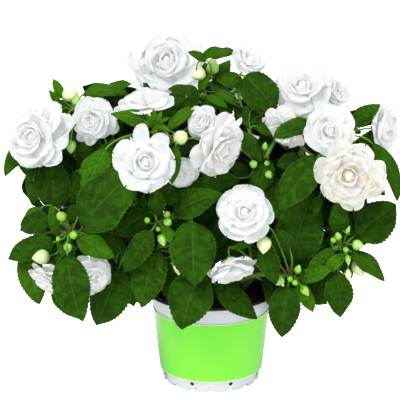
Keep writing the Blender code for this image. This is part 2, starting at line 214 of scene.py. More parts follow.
def seen(x, y, depth):
    """The point at this depth along +Y that shows at pixel (x, y)."""
    side = (x - PICTURE_SIZE / 2) / FOCAL_PIXELS
    rise = (PICTURE_SIZE / 2 - y) / FOCAL_PIXELS
    forward = math.cos(PITCH) + rise * math.sin(PITCH)
    upward = rise * math.cos(PITCH) - math.sin(PITCH)
    reach = (depth - EYE[1]) / forward
    return np.array((EYE[0] + reach * side, depth, EYE[2] + reach * upward))


def pixel_of(place):
    """The pixel at which this place shows."""
    x, y, z = np.asarray(place, dtype=float) - EYE
    forward = y * math.cos(PITCH) - z * math.sin(PITCH)
    upward = y * math.sin(PITCH) + z * math.cos(PITCH)
    scale = FOCAL_PIXELS / forward
    return PICTURE_SIZE / 2 + x * scale, PICTURE_SIZE / 2 - upward * scale


def at(x, y, z):
    return np.array((x, y, z), dtype=float)


STEMS = (
    Stem("front_left", (-20, -12), (-38, -42, 116), seen(72, 231, -60), 3.0),
    Stem("front_middle", (-8, -20), (-24, -52, 118), seen(157, 222, -68), 2.8),
    Stem("upper_middle", (-9, -6), (-22, -22, 160), seen(160, 132, -36), 2.8),
    Stem("top", (0, 4), (0, 4, 170), seen(203, 84, 6), 3.0),
    Stem("right_middle", (11, -8), (24, -14, 130), seen(262, 168, -28), 2.6),
    Stem("low_right", (16, -20), (36, -44, 106), seen(290, 275, -60), 2.6),
    Stem("front_right", (24, -10), (60, -34, 110), seen(343, 246, -52), 2.8),
    Stem("upper_left", (-20, 5), (-62, 2, 150), seen(74, 108, -14), 3.0),
    Stem("upper_right", (20, 6), (60, 4, 150), seen(342, 137, -20), 3.0),
    Stem("back_left", (-13, 18), (-44, 44, 130), at(-88, 78, 196), 2.8),
    Stem("back_middle", (1, 21), (4, 56, 130), at(8, 96, 214), 2.8),
    Stem("back_right", (14, 17), (48, 46, 130), at(92, 80, 200), 2.8),
)

# Leaves that replace a node of the same name
LEAVES = (
    Leaf("left_broad", "front_left", seen(82, 228, -74), seen(141, 170, -78), 47),
    Leaf("left_front", "front_left", seen(67, 254, -92), seen(82, 321, -98), 32),
    Leaf("left_low", "front_left", seen(119, 268, -54), seen(97, 325, -60), 38),
    Leaf("left_point", "front_left", seen(55, 242, -66), seen(8, 259, -66), 23),
    Leaf("left_side", "front_left", seen(50, 218, -56), seen(20, 230, -50), 22),
    Leaf("left_upright", "front_left", seen(54, 210, -42), seen(51, 156, -30), 31),
    Leaf("left_lime", "upper_middle", seen(106, 149, -50), seen(82, 193, -60), 25, None, 0.1, 0.5),
    Leaf("middle_large", "front_middle", seen(192, 221, -84), seen(195, 285, -98), 40),
    Leaf("middle_folded", "front_middle", seen(158, 248, -76), seen(141, 307, -78), 30),
    Leaf("middle_left", "front_middle", seen(152, 230, -84), seen(124, 272, -84), 21),
    Leaf("middle_right", "front_middle", seen(173, 215, -76), seen(222, 194, -80), 25),
    Leaf("over_pot", "front_middle", seen(200, 273, -70), seen(183, 329, -84), 40),
    Leaf("over_rim", "low_right", seen(215, 284, -60), seen(257, 319, -66), 22),
    Leaf("right_dark", "upper_right", seen(318, 157, -64), seen(278, 209, -74), 30),
    Leaf("right_broad", "low_right", seen(292, 262, -54), seen(312, 195, -44), 44),
    Leaf("right_lifted", "front_right", seen(354, 236, -56), seen(396, 205, -50), 39),
    Leaf("right_hanging", "front_right", seen(334, 271, -66), seen(340, 317, -70), 25),
    Leaf("right_low", "low_right", seen(288, 285, -76), seen(282, 337, -84), 28),
    Leaf("top_round", "right_middle", seen(245, 76, -8), seen(277, 111, -18), 35),
    Leaf("top_arched", "upper_left", seen(82, 95, -14), seen(129, 95, -10), 14, None, 0.3, 0.4),
    Leaf("back_left", "back_left", at(-104, 88, 190), at(-150, 112, 150), 38, (-0.6, 0.6, 0.5)),
    Leaf("back_left_low", "back_left", at(-64, 96, 172), at(-74, 128, 118), 40, (-0.2, 0.9, 0.4)),
    Leaf("back_middle", "back_middle", at(-16, 112, 190), at(-34, 140, 142), 40, (-0.1, 0.9, 0.4)),
    Leaf("back_middle_low", "back_middle", at(30, 100, 150), at(38, 122, 92), 38, (0.1, 0.9, 0.3)),
    Leaf("back_right", "back_right", at(112, 84, 192), at(156, 104, 152), 38, (0.6, 0.6, 0.5)),
    Leaf("back_right_low", "back_right", at(86, 100, 172), at(96, 132, 118), 40, (0.2, 0.9, 0.4)),
)

# Smaller leaves with no node of their own, by their stem: the pixel and depth of the base and of the
# tip, the width and, where they differ from the usual, the arch and the youth
SMALL_LEAVES = {
    "upper_left": (
        ((129, 99, -10), (102, 99, -8), 10, 0.15),
        ((63, 99, -14), (53, 79, -10), 9, 0.1, 0.6),
        ((60, 105, -16), (49, 90, -14), 7, 0.1, 0.5),
        ((80, 101, -16), (96, 98, -18), 6, 0.1, 0.6),
        ((106, 90, -6), (132, 84, -4), 10, 0.15, 0.3),
        ((72, 112, -12), (58, 100, -14), 12, 0.1, 0.2),
        ((27, 145, -34), (5, 176, -54), 16),
        ((36, 162, -40), (34, 206, -38), 14),
        ((106, 142, -32), (112, 172, -36), 16),
        ((80, 172, -38), (70, 208, -36), 18),
        ((120, 114, -22), (106, 134, -30), 12),
        ((98, 140, -10), (78, 166, -14), 26),
        ((114, 140, -4), (124, 182, -8), 26),
        ((72, 124, -6), (62, 152, -8), 24),
        ((108, 100, -4), (120, 132, -6), 22),
    ),
    "upper_middle": (
        ((155, 125, -42), (111, 114, -50), 16, 0.15, 0.5),
        ((168, 130, -44), (198, 108, -30), 12, 0.15, 0.6),
        ((155, 124, -64), (146, 114, -68), 5, 0.1, 0.9),
        ((156, 123, -64), (153, 109, -66), 5, 0.1, 0.8),
        ((157, 123, -64), (162, 111, -66), 5, 0.1, 0.9),
        ((158, 124, -64), (170, 118, -68), 5, 0.1, 0.7),
        ((154, 125, -64), (143, 123, -70), 5, 0.1, 0.7),
        ((158, 126, -66), (169, 131, -74), 5, 0.1, 0.9),
        ((156, 127, -68), (153, 138, -78), 5, 0.1, 0.8),
        ((158, 176, -34), (178, 206, -38), 24),
        ((200, 126, -14), (192, 158, -20), 24),
        ((176, 145, -76), (172, 184, -78), 12, 0.2, 0.3),
    ),
    "top": (
        ((200, 94, -22), (168, 89, -26), 12, 0.15),
        ((157, 95, 2), (143, 83, 4), 10),
        ((187, 98, -6), (166, 97, -8), 10),
        ((188, 99, -8), (164, 113, -14), 11, 0.1, 0.2),
        ((200, 92, 0), (209, 72, 2), 9, 0.2, 0.6),
        ((207, 61, -16), (188, 52, -18), 9, 0.1, 0.3),
        ((200, 60, -12), (228, 51, -8), 10, 0.25, 0.3),
        ((204, 97, -12), (215, 124, -18), 13),
        ((206, 96, -14), (228, 108, -20), 9, 0.15, 0.4),
        ((200, 97, -14), (184, 108, -22), 10, 0.15, 0.3),
        ((203, 104, -10), (192, 124, -22), 11, 0.1, 0.1),
        ((212, 59, 36), (238, 53, 40), 10, 0.3, 0.4),
        ((214, 77, 4), (249, 89, -2), 16, 0.2, 0.2),
        ((213, 92, -6), (241, 110, -12), 9, 0.25, 0.4),
        ((240, 91, -6), (253, 110, -8), 6, 0.2, 0.3),
        ((212, 97, -2), (233, 114, -6), 14),
        ((219, 108, -10), (230, 121, -14), 8, 0.1, 0.4),
        ((214, 84, 6), (230, 60, 10), 15, 0.1, 0.2),
        ((206, 80, 8), (203, 60, 10), 10, 0.1, 0.3),
        ((236, 110, -6), (269, 132, -14), 19),
    ),
    "right_middle": (
        ((231, 132, -46), (261, 161, -50), 16, 0.2),
        ((256, 126, -28), (271, 136, -30), 9, 0.1, 0.3),
        ((258, 109, -18), (270, 115, -20), 6, 0.1, 0.4),
        ((240, 178, -44), (182, 192, -48), 18),
        ((268, 158, -44), (254, 196, -54), 20),
        ((272, 180, -44), (284, 222, -50), 24),
    ),
    "upper_right": (
        ((310, 123, -62), (273, 138, -68), 17),
        ((352, 126, -34), (380, 105, -36), 17),
        ((372, 143, -44), (397, 201, -46), 15, 0.2, 0.2),
        ((320, 195, -62), (315, 215, -66), 9),
        ((262, 118, -10), (284, 140, -30), 20),
    ),
    "front_right": (
        ((340, 236, -56), (338, 197, -58), 17),
        ((350, 251, -58), (384, 281, -64), 16, 0.15, 0.2),
        ((344, 254, -64), (323, 273, -70), 12, 0.1, 0.6),
        ((335, 250, -60), (307, 270, -66), 11, 0.1, 0.2),
        ((342, 245, -48), (355, 227, -46), 13),
        ((341, 254, -54), (352, 278, -56), 14),
    ),
    "low_right": (
        ((298, 279, -68), (333, 268, -72), 15, 0.1, 0.4),
        ((296, 284, -74), (313, 312, -78), 14, 0.1, 0.4),
        ((276, 272, -62), (258, 254, -66), 8, 0.1, 0.6),
        ((256, 240, -78), (231, 249, -82), 8, 0.1, 0.6),
        ((262, 246, -84), (275, 284, -88), 19),
        ((290, 250, -82), (276, 230, -86), 14),
        ((300, 280, -50), (326, 304, -54), 22),
        ((266, 242, -28), (240, 274, -32), 26),
        ((240, 232, -30), (226, 264, -34), 24),
        ((304, 272, -40), (330, 290, -44), 22),
        ((244, 240, -24), (266, 272, -28), 24),
    ),
    "front_left": (
        ((42, 207, -44), (21, 226, -44), 14, 0.1, 0.5),
        ((25, 250, -50), (40, 304, -52), 24, 0.15, 0.6),
        ((57, 236, -66), (51, 203, -68), 10, 0.1, 0.3),
        ((58, 241, -74), (64, 258, -76), 6, 0.1, 0.5),
        ((77, 237, -80), (114, 258, -84), 20, 0.1, 0.3),
        ((52, 290, -66), (80, 319, -74), 18),
        ((80, 205, -46), (65, 223, -48), 14),
        ((106, 220, -36), (74, 246, -40), 28),
        ((86, 224, -38), (54, 212, -38), 22),
        ((84, 250, -44), (64, 288, -48), 26),
        ((62, 232, -34), (36, 262, -36), 26),
        ((66, 222, -40), (44, 240, -40), 24),
        ((116, 262, -48), (134, 306, -50), 22),
        ((96, 236, -62), (128, 252, -64), 18),
        ((70, 240, -60), (60, 276, -64), 20),
    ),
    "front_middle": (
        ((156, 216, -66), (157, 189, -66), 15, 0.1, 0.2),
        ((162, 226, -84), (182, 247, -88), 10, 0.1, 0.5),
        ((133, 284, -52), (143, 305, -58), 11),
        ((150, 212, -58), (116, 236, -60), 24),
        ((176, 256, -60), (168, 300, -66), 26),
    ),
}

# How the petals of each kind of flower stand, ring by ring from the outside
HABITS = {
    "rose": (
        Ring(5, 1.05, 1.16, 62, 98, 0.35, 0.07, 0.10, -0.28),
        Ring(5, 0.92, 1.06, 50, 86, 0.45, 0.06, 0.10, -0.18),
        Ring(4, 0.74, 0.96, 36, 66, 0.65, 0.05, 0.12, -0.10),
        Ring(3, 0.58, 0.86, 20, 34, 1.10, 0.03, 0.18, -0.08),
        Ring(3, 0.52, 0.72, 6, -6, 1.50, 0.01, 0.20, -0.06),
    ),
    "ball": (
        Ring(5, 1.08, 1.26, 50, 94, 0.45, 0.07, 0.10, -0.30),
        Ring(5, 0.98, 1.20, 38, 74, 0.60, 0.06, 0.10, -0.20),
        Ring(4, 0.84, 1.10, 26, 50, 0.85, 0.05, 0.12, -0.12),
        Ring(3, 0.70, 0.98, 14, 22, 1.20, 0.03, 0.20, -0.10),
        Ring(3, 0.62, 0.80, 4, -10, 1.50, 0.01, 0.22, -0.06),
    ),
    "open": (
        Ring(6, 1.02, 0.90, 64, 104, 0.25, 0.09, 0.10, -0.26),
        Ring(6, 0.90, 0.84, 52, 92, 0.35, 0.10, 0.10, -0.18),
        Ring(6, 0.76, 0.70, 40, 78, 0.50, 0.10, 0.10, -0.12),
        Ring(5, 0.60, 0.62, 26, 56, 0.80, 0.08, 0.12, -0.08),
        Ring(4, 0.50, 0.56, 8, 10, 1.20, 0.04, 0.16, -0.06),
    ),
    "cushion": (
        Ring(7, 1.04, 0.86, 62, 96, 0.35, 0.07, 0.12, -0.30),
        Ring(7, 0.94, 0.80, 50, 80, 0.45, 0.08, 0.11, -0.20),
        Ring(7, 0.80, 0.72, 40, 64, 0.60, 0.08, 0.12, -0.12),
        Ring(5, 0.68, 0.70, 28, 44, 0.85, 0.07, 0.14, -0.08),
        Ring(4, 0.56, 0.66, 12, 12, 1.20, 0.05, 0.18, -0.06),
    ),
    "saucer": (
        Ring(5, 1.10, 1.20, 56, 76, 0.45, 0.06, 0.10, -0.30),
        Ring(5, 0.98, 1.10, 44, 66, 0.55, 0.05, 0.10, -0.20),
        Ring(4, 0.72, 0.90, 30, 50, 0.80, 0.04, 0.12, -0.14),
    ),
    "flat": (
        Ring(5, 1.10, 1.30, 74, 90, 0.25, 0.05, 0.08, -0.12),
        Ring(4, 0.85, 1.10, 62, 80, 0.35, 0.05, 0.08, -0.06),
    ),
    "heart": (
        Ring(5, 0.86, 1.02, 48, 84, 0.45, 0.06, 0.10, -0.18),
        Ring(4, 0.74, 0.96, 36, 62, 0.65, 0.05, 0.12, -0.10),
        Ring(3, 0.60, 0.88, 20, 34, 1.10, 0.03, 0.18, -0.08),
        Ring(3, 0.54, 0.74, 6, -6, 1.50, 0.01, 0.20, -0.06),
    ),
}

# The kind with no rolled middle, and how far the petals of two kinds have aged
CORELESS_HABIT = "flat"
AGED_HABITS = {"cushion": 1.0, "open": 0.25}

# Flowers that replace a node of the same name
FLOWERS = (
    Flower("far_left", "upper_left", seen(35, 138, -44), (-0.35, -0.86, 0.25), 48, "ball", 20),
    Flower("left", "upper_left", seen(95, 119, -30), (-0.3, -0.85, -0.1), 36, "ball", 60),
    Flower("top", "top", seen(167, 65, 12), (-0.1, -0.85, 0.5), 60, "ball", 30),
    Flower("edge_on", "upper_middle", seen(146, 104, -34), (-0.1, -0.3, 0.95), 38, "flat", 10),
    Flower("front", "upper_middle", seen(145, 163, -92), (0.1, -0.9, 0.35), 45, "heart", 40),
    Flower("middle", "upper_middle", seen(219, 148, -62), (0.60, -0.68, -0.3), 50, "open", 15),
    Flower("rose", "low_right", seen(245, 214, -92), (-0.1, -0.85, 0.5), 42, "rose", 80),
    Flower("drooping", "low_right", seen(231, 265, -80), (0.20, -0.5, -0.8), 40, "ball", 0),
    Flower("upper_right", "upper_right", seen(303, 89, -4), (-0.1, -0.8, 0.55), 52, "rose", 30),
    Flower("shaded", "upper_right", seen(286, 128, -40), (-0.5, -0.6, -0.5), 40, "open", 0),
    Flower("right_rose", "upper_right", seen(329, 130, -70), (0.1, -0.97, 0.1), 41, "rose", 0),
    Flower("aged", "upper_right", seen(349, 174, -84), (-0.1, -0.97, -0.05), 49, "cushion", 0),
    Flower("far_right", "upper_right", seen(380, 128, -22), (0.8, -0.5, 0.1), 43, "saucer", 0),
    Flower("low_left", "front_left", seen(92, 274, -70), (0.25, -0.9, -0.2), 33, "rose", 0),
    Flower("back_left", "back_left", at(-84, 108, 218), (-0.4, 0.8, 0.4), 52, "rose", 0),
    Flower("back_middle", "back_middle", at(14, 128, 226), (0, 0.85, 0.5), 54, "ball", 0),
    Flower("back_right", "back_right", at(88, 112, 222), (0.4, 0.8, 0.4), 52, "open", 0),
)

# Outer petals that are placed one by one, by their flower: azimuth (0 to its right, 90 up), length,
# width, lean, curl, cup
OUTER_PETALS = {
    "front": (
        (162, 1.16, 1.20, 60, 88, 0.5),
        (226, 1.20, 1.40, 46, 62, 0.8),
        (276, 1.08, 1.20, 54, 84, 0.5),
        (326, 1.08, 1.25, 58, 90, 0.4),
        (10, 1.02, 1.20, 60, 92, 0.5),
        (55, 1.20, 0.66, 66, 94, 0.4),
        (100, 1.24, 0.56, 68, 94, 0.5),
        (134, 1.02, 0.90, 62, 95, 0.4),
    ),
    "far_left": (
        (27, 1.42, 0.80, 70, 92, 0.5),
        (40, 1.52, 0.85, 64, 84, 0.6),
        (54, 1.32, 0.80, 54, 80, 0.5),
        (322, 1.25, 0.90, 62, 92, 0.4),
    ),
    "left": (
        (236, 1.50, 0.62, 62, 82, 0.8),
        (262, 1.25, 0.80, 56, 84, 0.5),
        (335, 1.15, 0.80, 70, 110, 0.3),
    ),
    "middle": (
        (76, 1.40, 0.42, 58, 70, 0.6),
        (96, 1.46, 0.38, 60, 72, 0.7),
        (116, 1.20, 0.60, 56, 70, 0.7),
        (300, 1.15, 0.70, 66, 96, 0.4),
    ),
    "edge_on": (
        (20, 1.35, 0.80, 74, 84, 0.3),
    ),
    "far_right": (
        (190, 1.05, 1.30, 50, 90, 0.5),
        (130, 1.05, 1.20, 56, 90, 0.5),
        (245, 1.10, 1.20, 56, 84, 0.5),
    ),
}

# Flowers with no node of their own
MORE_FLOWERS = (
    Flower("peeping", "upper_middle", seen(181, 173, -60), (0.1, -0.9, -0.2), 25, "rose", 0),
    Flower("behind_top", "top", seen(249, 62, 30), (0.3, -0.6, 0.7), 31, "saucer", 0),
    Flower("far_low_left", "front_left", seen(49, 279, -70), (-0.5, -0.7, -0.5), 34, "open", 0),
    Flower("upper_right_back", "upper_right", seen(330, 94, 4), (0.6, -0.5, 0.5), 36, "ball", 0),
    Flower("tucked", "upper_middle", seen(204, 123, -42), (-0.5, -0.7, 0.3), 28, "ball", 0),
    Flower("side_left", "upper_left", at(-130, 24, 190), (-0.9, 0.1, 0.4), 46, "rose", 30),
    Flower("side_right", "upper_right", at(126, 38, 172), (0.9, 0.2, 0.35), 44, "rose", 50),
    Flower("crown_left", "top", at(-40, 66, 246), (-0.2, 0.45, 0.85), 46, "rose", 10),
    Flower("crown_right", "back_right", at(86, 62, 226), (0.3, 0.5, 0.8), 44, "ball", 70),
    Flower("back_low", "back_middle", at(30, 132, 178), (0.1, 0.95, 0.1), 44, "rose", 20),
    Flower("back_low_left", "back_left", at(-126, 62, 134), (-0.85, 0.5, 0.0), 42, "open", 0),
    Flower("back_low_right", "back_right", at(72, 124, 162), (0.3, 0.9, 0.15), 44, "ball", 0),
)

# Buds that replace a node of the same name
BUDS = (
    Bud("upper_left", "upper_left", seen(70, 93, -14), (-0.1, 0.0, 1.0), 15, 14, 0.2),
    Bud("front_right", "front_right", seen(359, 268, -58), (0.3, -0.5, -0.8), 15, 13, 0.3),
)

# Buds with no node of their own, by their place: centre, axis, length, width, youth
SMALL_BUDS = {
    "upper_left": (
        (seen(77, 101, -20), (0.2, -0.3, 0.9), 10, 9, 0.8),
        (seen(71, 147, -46), (0.0, -0.2, -1.0), 11, 9, 0.7),
    ),
    "upper_middle": (
        (seen(180, 137, -70), (-0.3, -0.6, 0.5), 13, 12, 0.4),
        (seen(167, 134, -54), (0.2, -0.5, 0.6), 5, 4, 0.9),
    ),
    "top": (
        (seen(199, 73, -2), (0.0, -0.3, 1.0), 13, 12, 0.2),
        (seen(213, 67, 0), (0.2, -0.2, 1.0), 14, 11, 0.7),
    ),
    "front_middle": (
        (seen(167, 214, -80), (0.2, -0.6, 0.6), 7, 6, 0.8),
        (seen(168, 222, -84), (0.3, -0.6, 0.3), 8, 7, 0.8),
        (seen(147, 220, -80), (-0.3, -0.6, 0.6), 6, 5, 0.9),
        (seen(158, 229, -86), (0.0, -0.8, 0.3), 5, 4, 0.9),
        (seen(163, 240, -84), (0.1, -0.6, -0.5), 12, 9, 0.8),
        (seen(178, 266, -86), (0.1, -0.2, -1.0), 15, 9, 0.5),
    ),
    "front_left": (
        (seen(61, 216, -74), (-0.3, -0.6, 0.5), 11, 8, 0.8),
        (seen(74, 235, -82), (0.4, -0.6, 0.2), 8, 7, 0.9),
        (seen(58, 239, -78), (-0.3, -0.6, -0.2), 5, 4, 0.9),
        (seen(68, 248, -84), (0.1, -0.6, -0.6), 8, 7, 0.8),
        (seen(41, 257, -72), (-0.7, -0.4, 0.0), 15, 13, 0.45),
    ),
    "low_right": (
        (seen(298, 269, -74), (0.2, -0.4, 0.9), 9, 6, 0.8),
        (seen(279, 281, -78), (-0.5, -0.5, -0.2), 10, 9, 0.7),
        (seen(290, 279, -80), (0.0, -0.8, 0.2), 6, 5, 0.9),
        (seen(295, 283, -80), (0.3, -0.8, -0.2), 6, 5, 0.9),
        (seen(305, 291, -78), (0.5, -0.4, -0.6), 10, 7, 0.8),
        (seen(264, 245, -92), (-0.1, -0.4, -0.9), 14, 12, 0.2),
    ),
    "front_right": (
        (seen(338, 236, -64), (-0.2, -0.5, 0.8), 9, 6, 0.8),
        (seen(333, 240, -66), (-0.4, -0.5, 0.4), 7, 5, 0.9),
        (seen(348, 230, -64), (0.2, -0.4, 0.9), 9, 4, 0.8),
        (seen(358, 245, -66), (0.6, -0.6, 0.1), 11, 9, 0.7),
        (seen(346, 250, -70), (0.1, -0.8, 0.0), 6, 5, 0.9),
        (seen(348, 260, -70), (0.1, -0.4, -0.9), 9, 5, 0.8),
        (seen(348, 275, -66), (0.0, -0.2, -1.0), 10, 6, 0.2),
    ),
    "right_middle": (
        (seen(253, 164, -52), (-0.4, -0.6, 0.3), 8, 7, 0.8),
        (seen(267, 163, -50), (0.1, -0.6, 0.6), 5, 5, 0.9),
        (seen(269, 175, -52), (0.3, -0.6, -0.3), 8, 7, 0.8),
        (seen(265, 146, -48), (0.1, -0.4, 0.9), 8, 5, 0.8),
        (seen(237, 129, -46), (-0.2, -0.4, 0.9), 8, 5, 0.8),
    ),
    "upper_right": (
        (seen(343, 110, -34), (0.3, -0.4, 0.8), 14, 11, 0.1),
    ),
    "back_left": (
        (at(-90, 104, 184), (-0.2, 0.8, 0.4), 13, 11, 0.3),
        (at(-80, 100, 192), (0.2, 0.8, 0.5), 8, 7, 0.8),
        (at(-96, 98, 196), (-0.5, 0.7, 0.5), 7, 6, 0.9),
    ),
    "back_middle": (
        (at(-8, 122, 206), (-0.3, 0.8, 0.5), 14, 12, 0.2),
        (at(30, 118, 200), (0.4, 0.8, 0.3), 8, 7, 0.8),
        (at(20, 118, 190), (0.1, 0.9, -0.2), 7, 6, 0.9),
    ),
    "back_right": (
        (at(104, 98, 190), (0.4, 0.8, 0.1), 13, 11, 0.4),
        (at(92, 100, 194), (0.0, 0.8, 0.5), 8, 7, 0.9),
    ),
    "side_left": (
        (at(-128, 18, 158), (-0.9, 0.0, -0.2), 12, 10, 0.4),
        (at(-122, 10, 164), (-0.8, -0.2, 0.4), 7, 6, 0.9),
    ),
    "side_right": (
        (at(122, 22, 200), (0.8, 0.1, 0.5), 12, 10, 0.3),
        (at(116, 26, 204), (0.4, 0.3, 0.8), 7, 6, 0.9),
    ),
}

# The stems that carry the buds at the sides
SIDE_STEMS = {"side_left": "upper_left", "side_right": "upper_right"}

# The plant's outline in the picture, which no fill leaf crosses
OUTLINE = (
    (38, 92), (62, 76), (98, 84), (135, 62), (165, 46), (200, 50), (240, 54), (276, 82), (338, 84),
    (380, 106), (396, 150), (392, 200), (390, 240), (372, 276), (345, 300), (318, 300), (284, 322),
    (244, 312), (184, 318), (146, 300), (98, 314), (60, 312), (34, 288), (14, 255), (22, 205), (6, 165),
)

# Side shoots that fill the mound on all sides: stem, tip, number of leaves and their length
SHOOTS = (
    ("front_left", (-122, -18, 128), 6, 40),
    ("upper_left", (-130, 8, 172), 6, 44),
    ("upper_left", (-100, 26, 212), 6, 42),
    ("upper_left", (-62, 24, 226), 5, 40),
    ("back_left", (-126, 48, 160), 6, 44),
    ("back_left", (-96, 70, 132), 6, 42),
    ("back_left", (-54, 86, 206), 5, 42),
    ("top", (-26, 46, 240), 6, 42),
    ("top", (24, 44, 242), 6, 42),
    ("back_middle", (-14, 104, 158), 6, 42),
    ("back_middle", (36, 96, 196), 5, 42),
    ("back_right", (58, 92, 146), 6, 42),
    ("back_right", (116, 58, 160), 6, 44),
    ("back_right", (98, 66, 124), 6, 42),
    ("upper_right", (118, 14, 176), 6, 44),
    ("upper_right", (92, 30, 214), 6, 42),
    ("front_right", (112, -16, 128), 6, 40),
    ("right_middle", (66, 16, 220), 5, 40),
    ("right_middle", (46, -10, 150), 5, 40),
    ("upper_middle", (-40, -14, 168), 6, 40),
    ("front_middle", (-46, -40, 126), 5, 38),
    ("low_right", (50, -36, 124), 5, 38),
    ("upper_left", (-84, -2, 146), 5, 40),
    ("upper_right", (84, 2, 146), 5, 40),
    ("front_middle", (-22, -30, 140), 5, 40),
    ("right_middle", (12, -26, 158), 5, 40),
    ("right_middle", (40, 12, 186), 5, 40),
    ("upper_middle", (-6, -16, 190), 5, 40),
    ("front_right", (84, -26, 118), 5, 38),
    ("top", (-34, 20, 200), 5, 40),
    ("top", (30, 24, 170), 5, 40),
    ("back_middle", (0, 60, 130), 5, 40),
    ("back_left", (-60, 50, 120), 5, 40),
    ("back_right", (64, 50, 112), 5, 40),
    ("back_left", (-74, 54, 200), 5, 40),
    ("back_right", (64, 60, 206), 5, 40),
    ("top", (0, 30, 222), 5, 38),
    ("back_middle", (-30, 84, 186), 5, 40),
    ("upper_left", (-94, 34, 168), 5, 40),
    ("upper_right", (96, 44, 180), 5, 40),
)


def bezier(points, shares):
    """The points at these shares of the curve that the control points give."""
    shares = np.asarray(shares, dtype=float)[:, None]
    level = [np.asarray(point, dtype=float)[None, :] for point in points]
    while len(level) > 1:
        level = [a + (b - a) * shares for a, b in zip(level, level[1:])]
    return level[0]


def unit(vectors):
    vectors = np.asarray(vectors, dtype=float)
    return vectors / np.maximum(np.linalg.norm(vectors, axis=-1, keepdims=True), 1e-9)


def dice(name, number=0):
    """The chance that belongs to one thing, the same in every run."""
    letters = sum(ord(letter) * (i + 1) for i, letter in enumerate(name))
    return np.random.RandomState(SEED + 1000 * number + letters)


def smooth(values):
    """A soft step of values that run from 0 to 1."""
    values = np.clip(values, 0.0, 1.0)
    return values * values * (3.0 - 2.0 * values)


def triangle_wave(values):
    """The distance to the nearest whole number, from 0 to 0.5."""
    return np.abs(values - np.round(values))


def round_angles(sides):
    return np.arange(sides) * math.tau / sides


def level_ring(radius, angles, height):
    """Points round +Z at these angles."""
    heights = np.full(len(angles), height)
    return np.stack([radius * np.cos(angles), radius * np.sin(angles), heights], axis=-1)


def axis_ends(low, high):
    """The two points on +Z that close a round shape."""
    return np.array([(0, 0, low), (0, 0, high)], dtype=float)


class Shape:
    """The points, faces, materials and named point values that are gathered for one mesh."""

    def __init__(self):
        self.points = []
        self.faces = []
        self.looks = []
        self.values = {}
        self.count = 0

    def add(self, points, faces, look=0, **values):
        for name, value in values.items():
            column = self.values.setdefault(name, [])
            gap = self.count - sum(len(part) for part in column)
            column.append(np.zeros(gap))
            column.append(np.broadcast_to(np.asarray(value, dtype=float), (len(points),)))
        self.points.append(points)
        self.faces.extend(tuple(int(i) + self.count for i in face) for face in faces)
        self.looks.extend([look] * len(faces))
        self.count += len(points)

    def add_sheet(self, grid, thickness, look, along, across, **values):
        """Adds a closed sheet whose rows lie at the shares along, and its columns at those across."""
        points, faces = thin_solid(grid, thickness)
        values["along"] = np.tile(np.repeat(along, len(across)), 2)
        values["across"] = np.tile(across, len(along) * 2)
        self.add(points, faces, look, **values)

    def build(self, name, materials):
        """The mesh object with this name. Its points are in millimetres until here."""
        mesh = bpy.data.meshes.new(name)
        places = np.concatenate(self.points) * MM
        mesh.from_pydata(places.tolist(), [], self.faces)
        for material in materials:
            mesh.materials.append(material)
        mesh.polygons.foreach_set("material_index", self.looks)
        for key, column in self.values.items():
            full = np.concatenate(column + [np.zeros(self.count)])[: self.count]
            layer = mesh.attributes.new(key, "FLOAT", "POINT")
            layer.data.foreach_set("value", full.astype(np.float32))
        mesh.update()
        mesh.shade_smooth()
        mesh.set_sharp_from_angle(angle=SHARP_ANGLE)
        made = bpy.data.objects.new(name, mesh)
        bpy.context.scene.collection.objects.link(made)
        return made


def piece(shape, name, materials, slot, *nodes):
    """Builds the shape as a piece of the object that rides on the body and stands for its nodes."""
    made = shape.build(name, materials)
    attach(made, "root")
    if nodes:
        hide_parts(*nodes)
    return made


def thin_solid(grid, thickness):
    """A closed sheet of this thickness round a grid of points, thinner at its rim."""
    rows, columns = grid.shape[:2]
    normal = unit(np.cross(np.gradient(grid, axis=0), np.gradient(grid, axis=1)))
    at_rim = np.zeros((rows, columns), dtype=bool)
    at_rim[[0, -1], :] = True
    at_rim[:, [0, -1]] = True
    half = thickness * np.where(at_rim, 0.25, 0.5)[..., None]
    front = (grid + normal * half).reshape(-1, 3)
    back = (grid - normal * half).reshape(-1, 3)
    return np.concatenate([front, back]), sheet_faces(rows, columns)


@lru_cache(maxsize=None)
def sheet_faces(rows, columns):
    """The faces of a closed sheet: its front, its back and the rim between them."""
    back = rows * columns
    index = np.arange(back).reshape(rows, columns)
    faces = []
    for i in range(rows - 1):
        for j in range(columns - 1):
            a, b, c, d = index[i, j], index[i + 1, j], index[i + 1, j + 1], index[i, j + 1]
            faces.append((a, b, c, d))
            faces.append((d + back, c + back, b + back, a + back))
    ring = [*index[:-1, 0], *index[-1, :-1], *index[:0:-1, -1], *index[0, :0:-1]]
    for a, b in zip(ring, ring[1:] + ring[:1]):
        faces.append((b, a, a + back, b + back))
    return faces


def tube(spine, radii, sides):
    """A closed round tube along a line of points: its points and faces."""
    spine = np.asarray(spine, dtype=float)
    tangents = unit(np.gradient(spine, axis=0))
    helper = at(0, 0, 1) if abs(tangents[0][2]) < 0.9 else at(1, 0, 0)
    side = unit(np.cross(tangents[0], helper))
    angles = round_angles(sides)
    rings = []
    for centre, tangent, radius in zip(spine, tangents, radii):
        side = unit(side - tangent * np.dot(side, tangent))
        around = np.outer(np.cos(angles), side) + np.outer(np.sin(angles), np.cross(tangent, side))
        rings.append(centre + radius * around)
    return np.concatenate(rings + [spine[:1], spine[-1:]]), tube_faces(len(spine), sides)


def tube_faces(stations, sides):
    """The faces of a closed tube whose two last points are the middles of its ends."""
    faces = []
    for i in range(stations - 1):
        for j in range(sides):
            k = (j + 1) % sides
            faces.append((i * sides + j, i * sides + k, (i + 1) * sides + k, (i + 1) * sides + j))
    first, last = stations * sides, stations * sides + 1
    end = (stations - 1) * sides
    for j in range(sides):
        k = (j + 1) % sides
        faces.append((first, k, j))
        faces.append((last, end + j, end + k))
    return faces


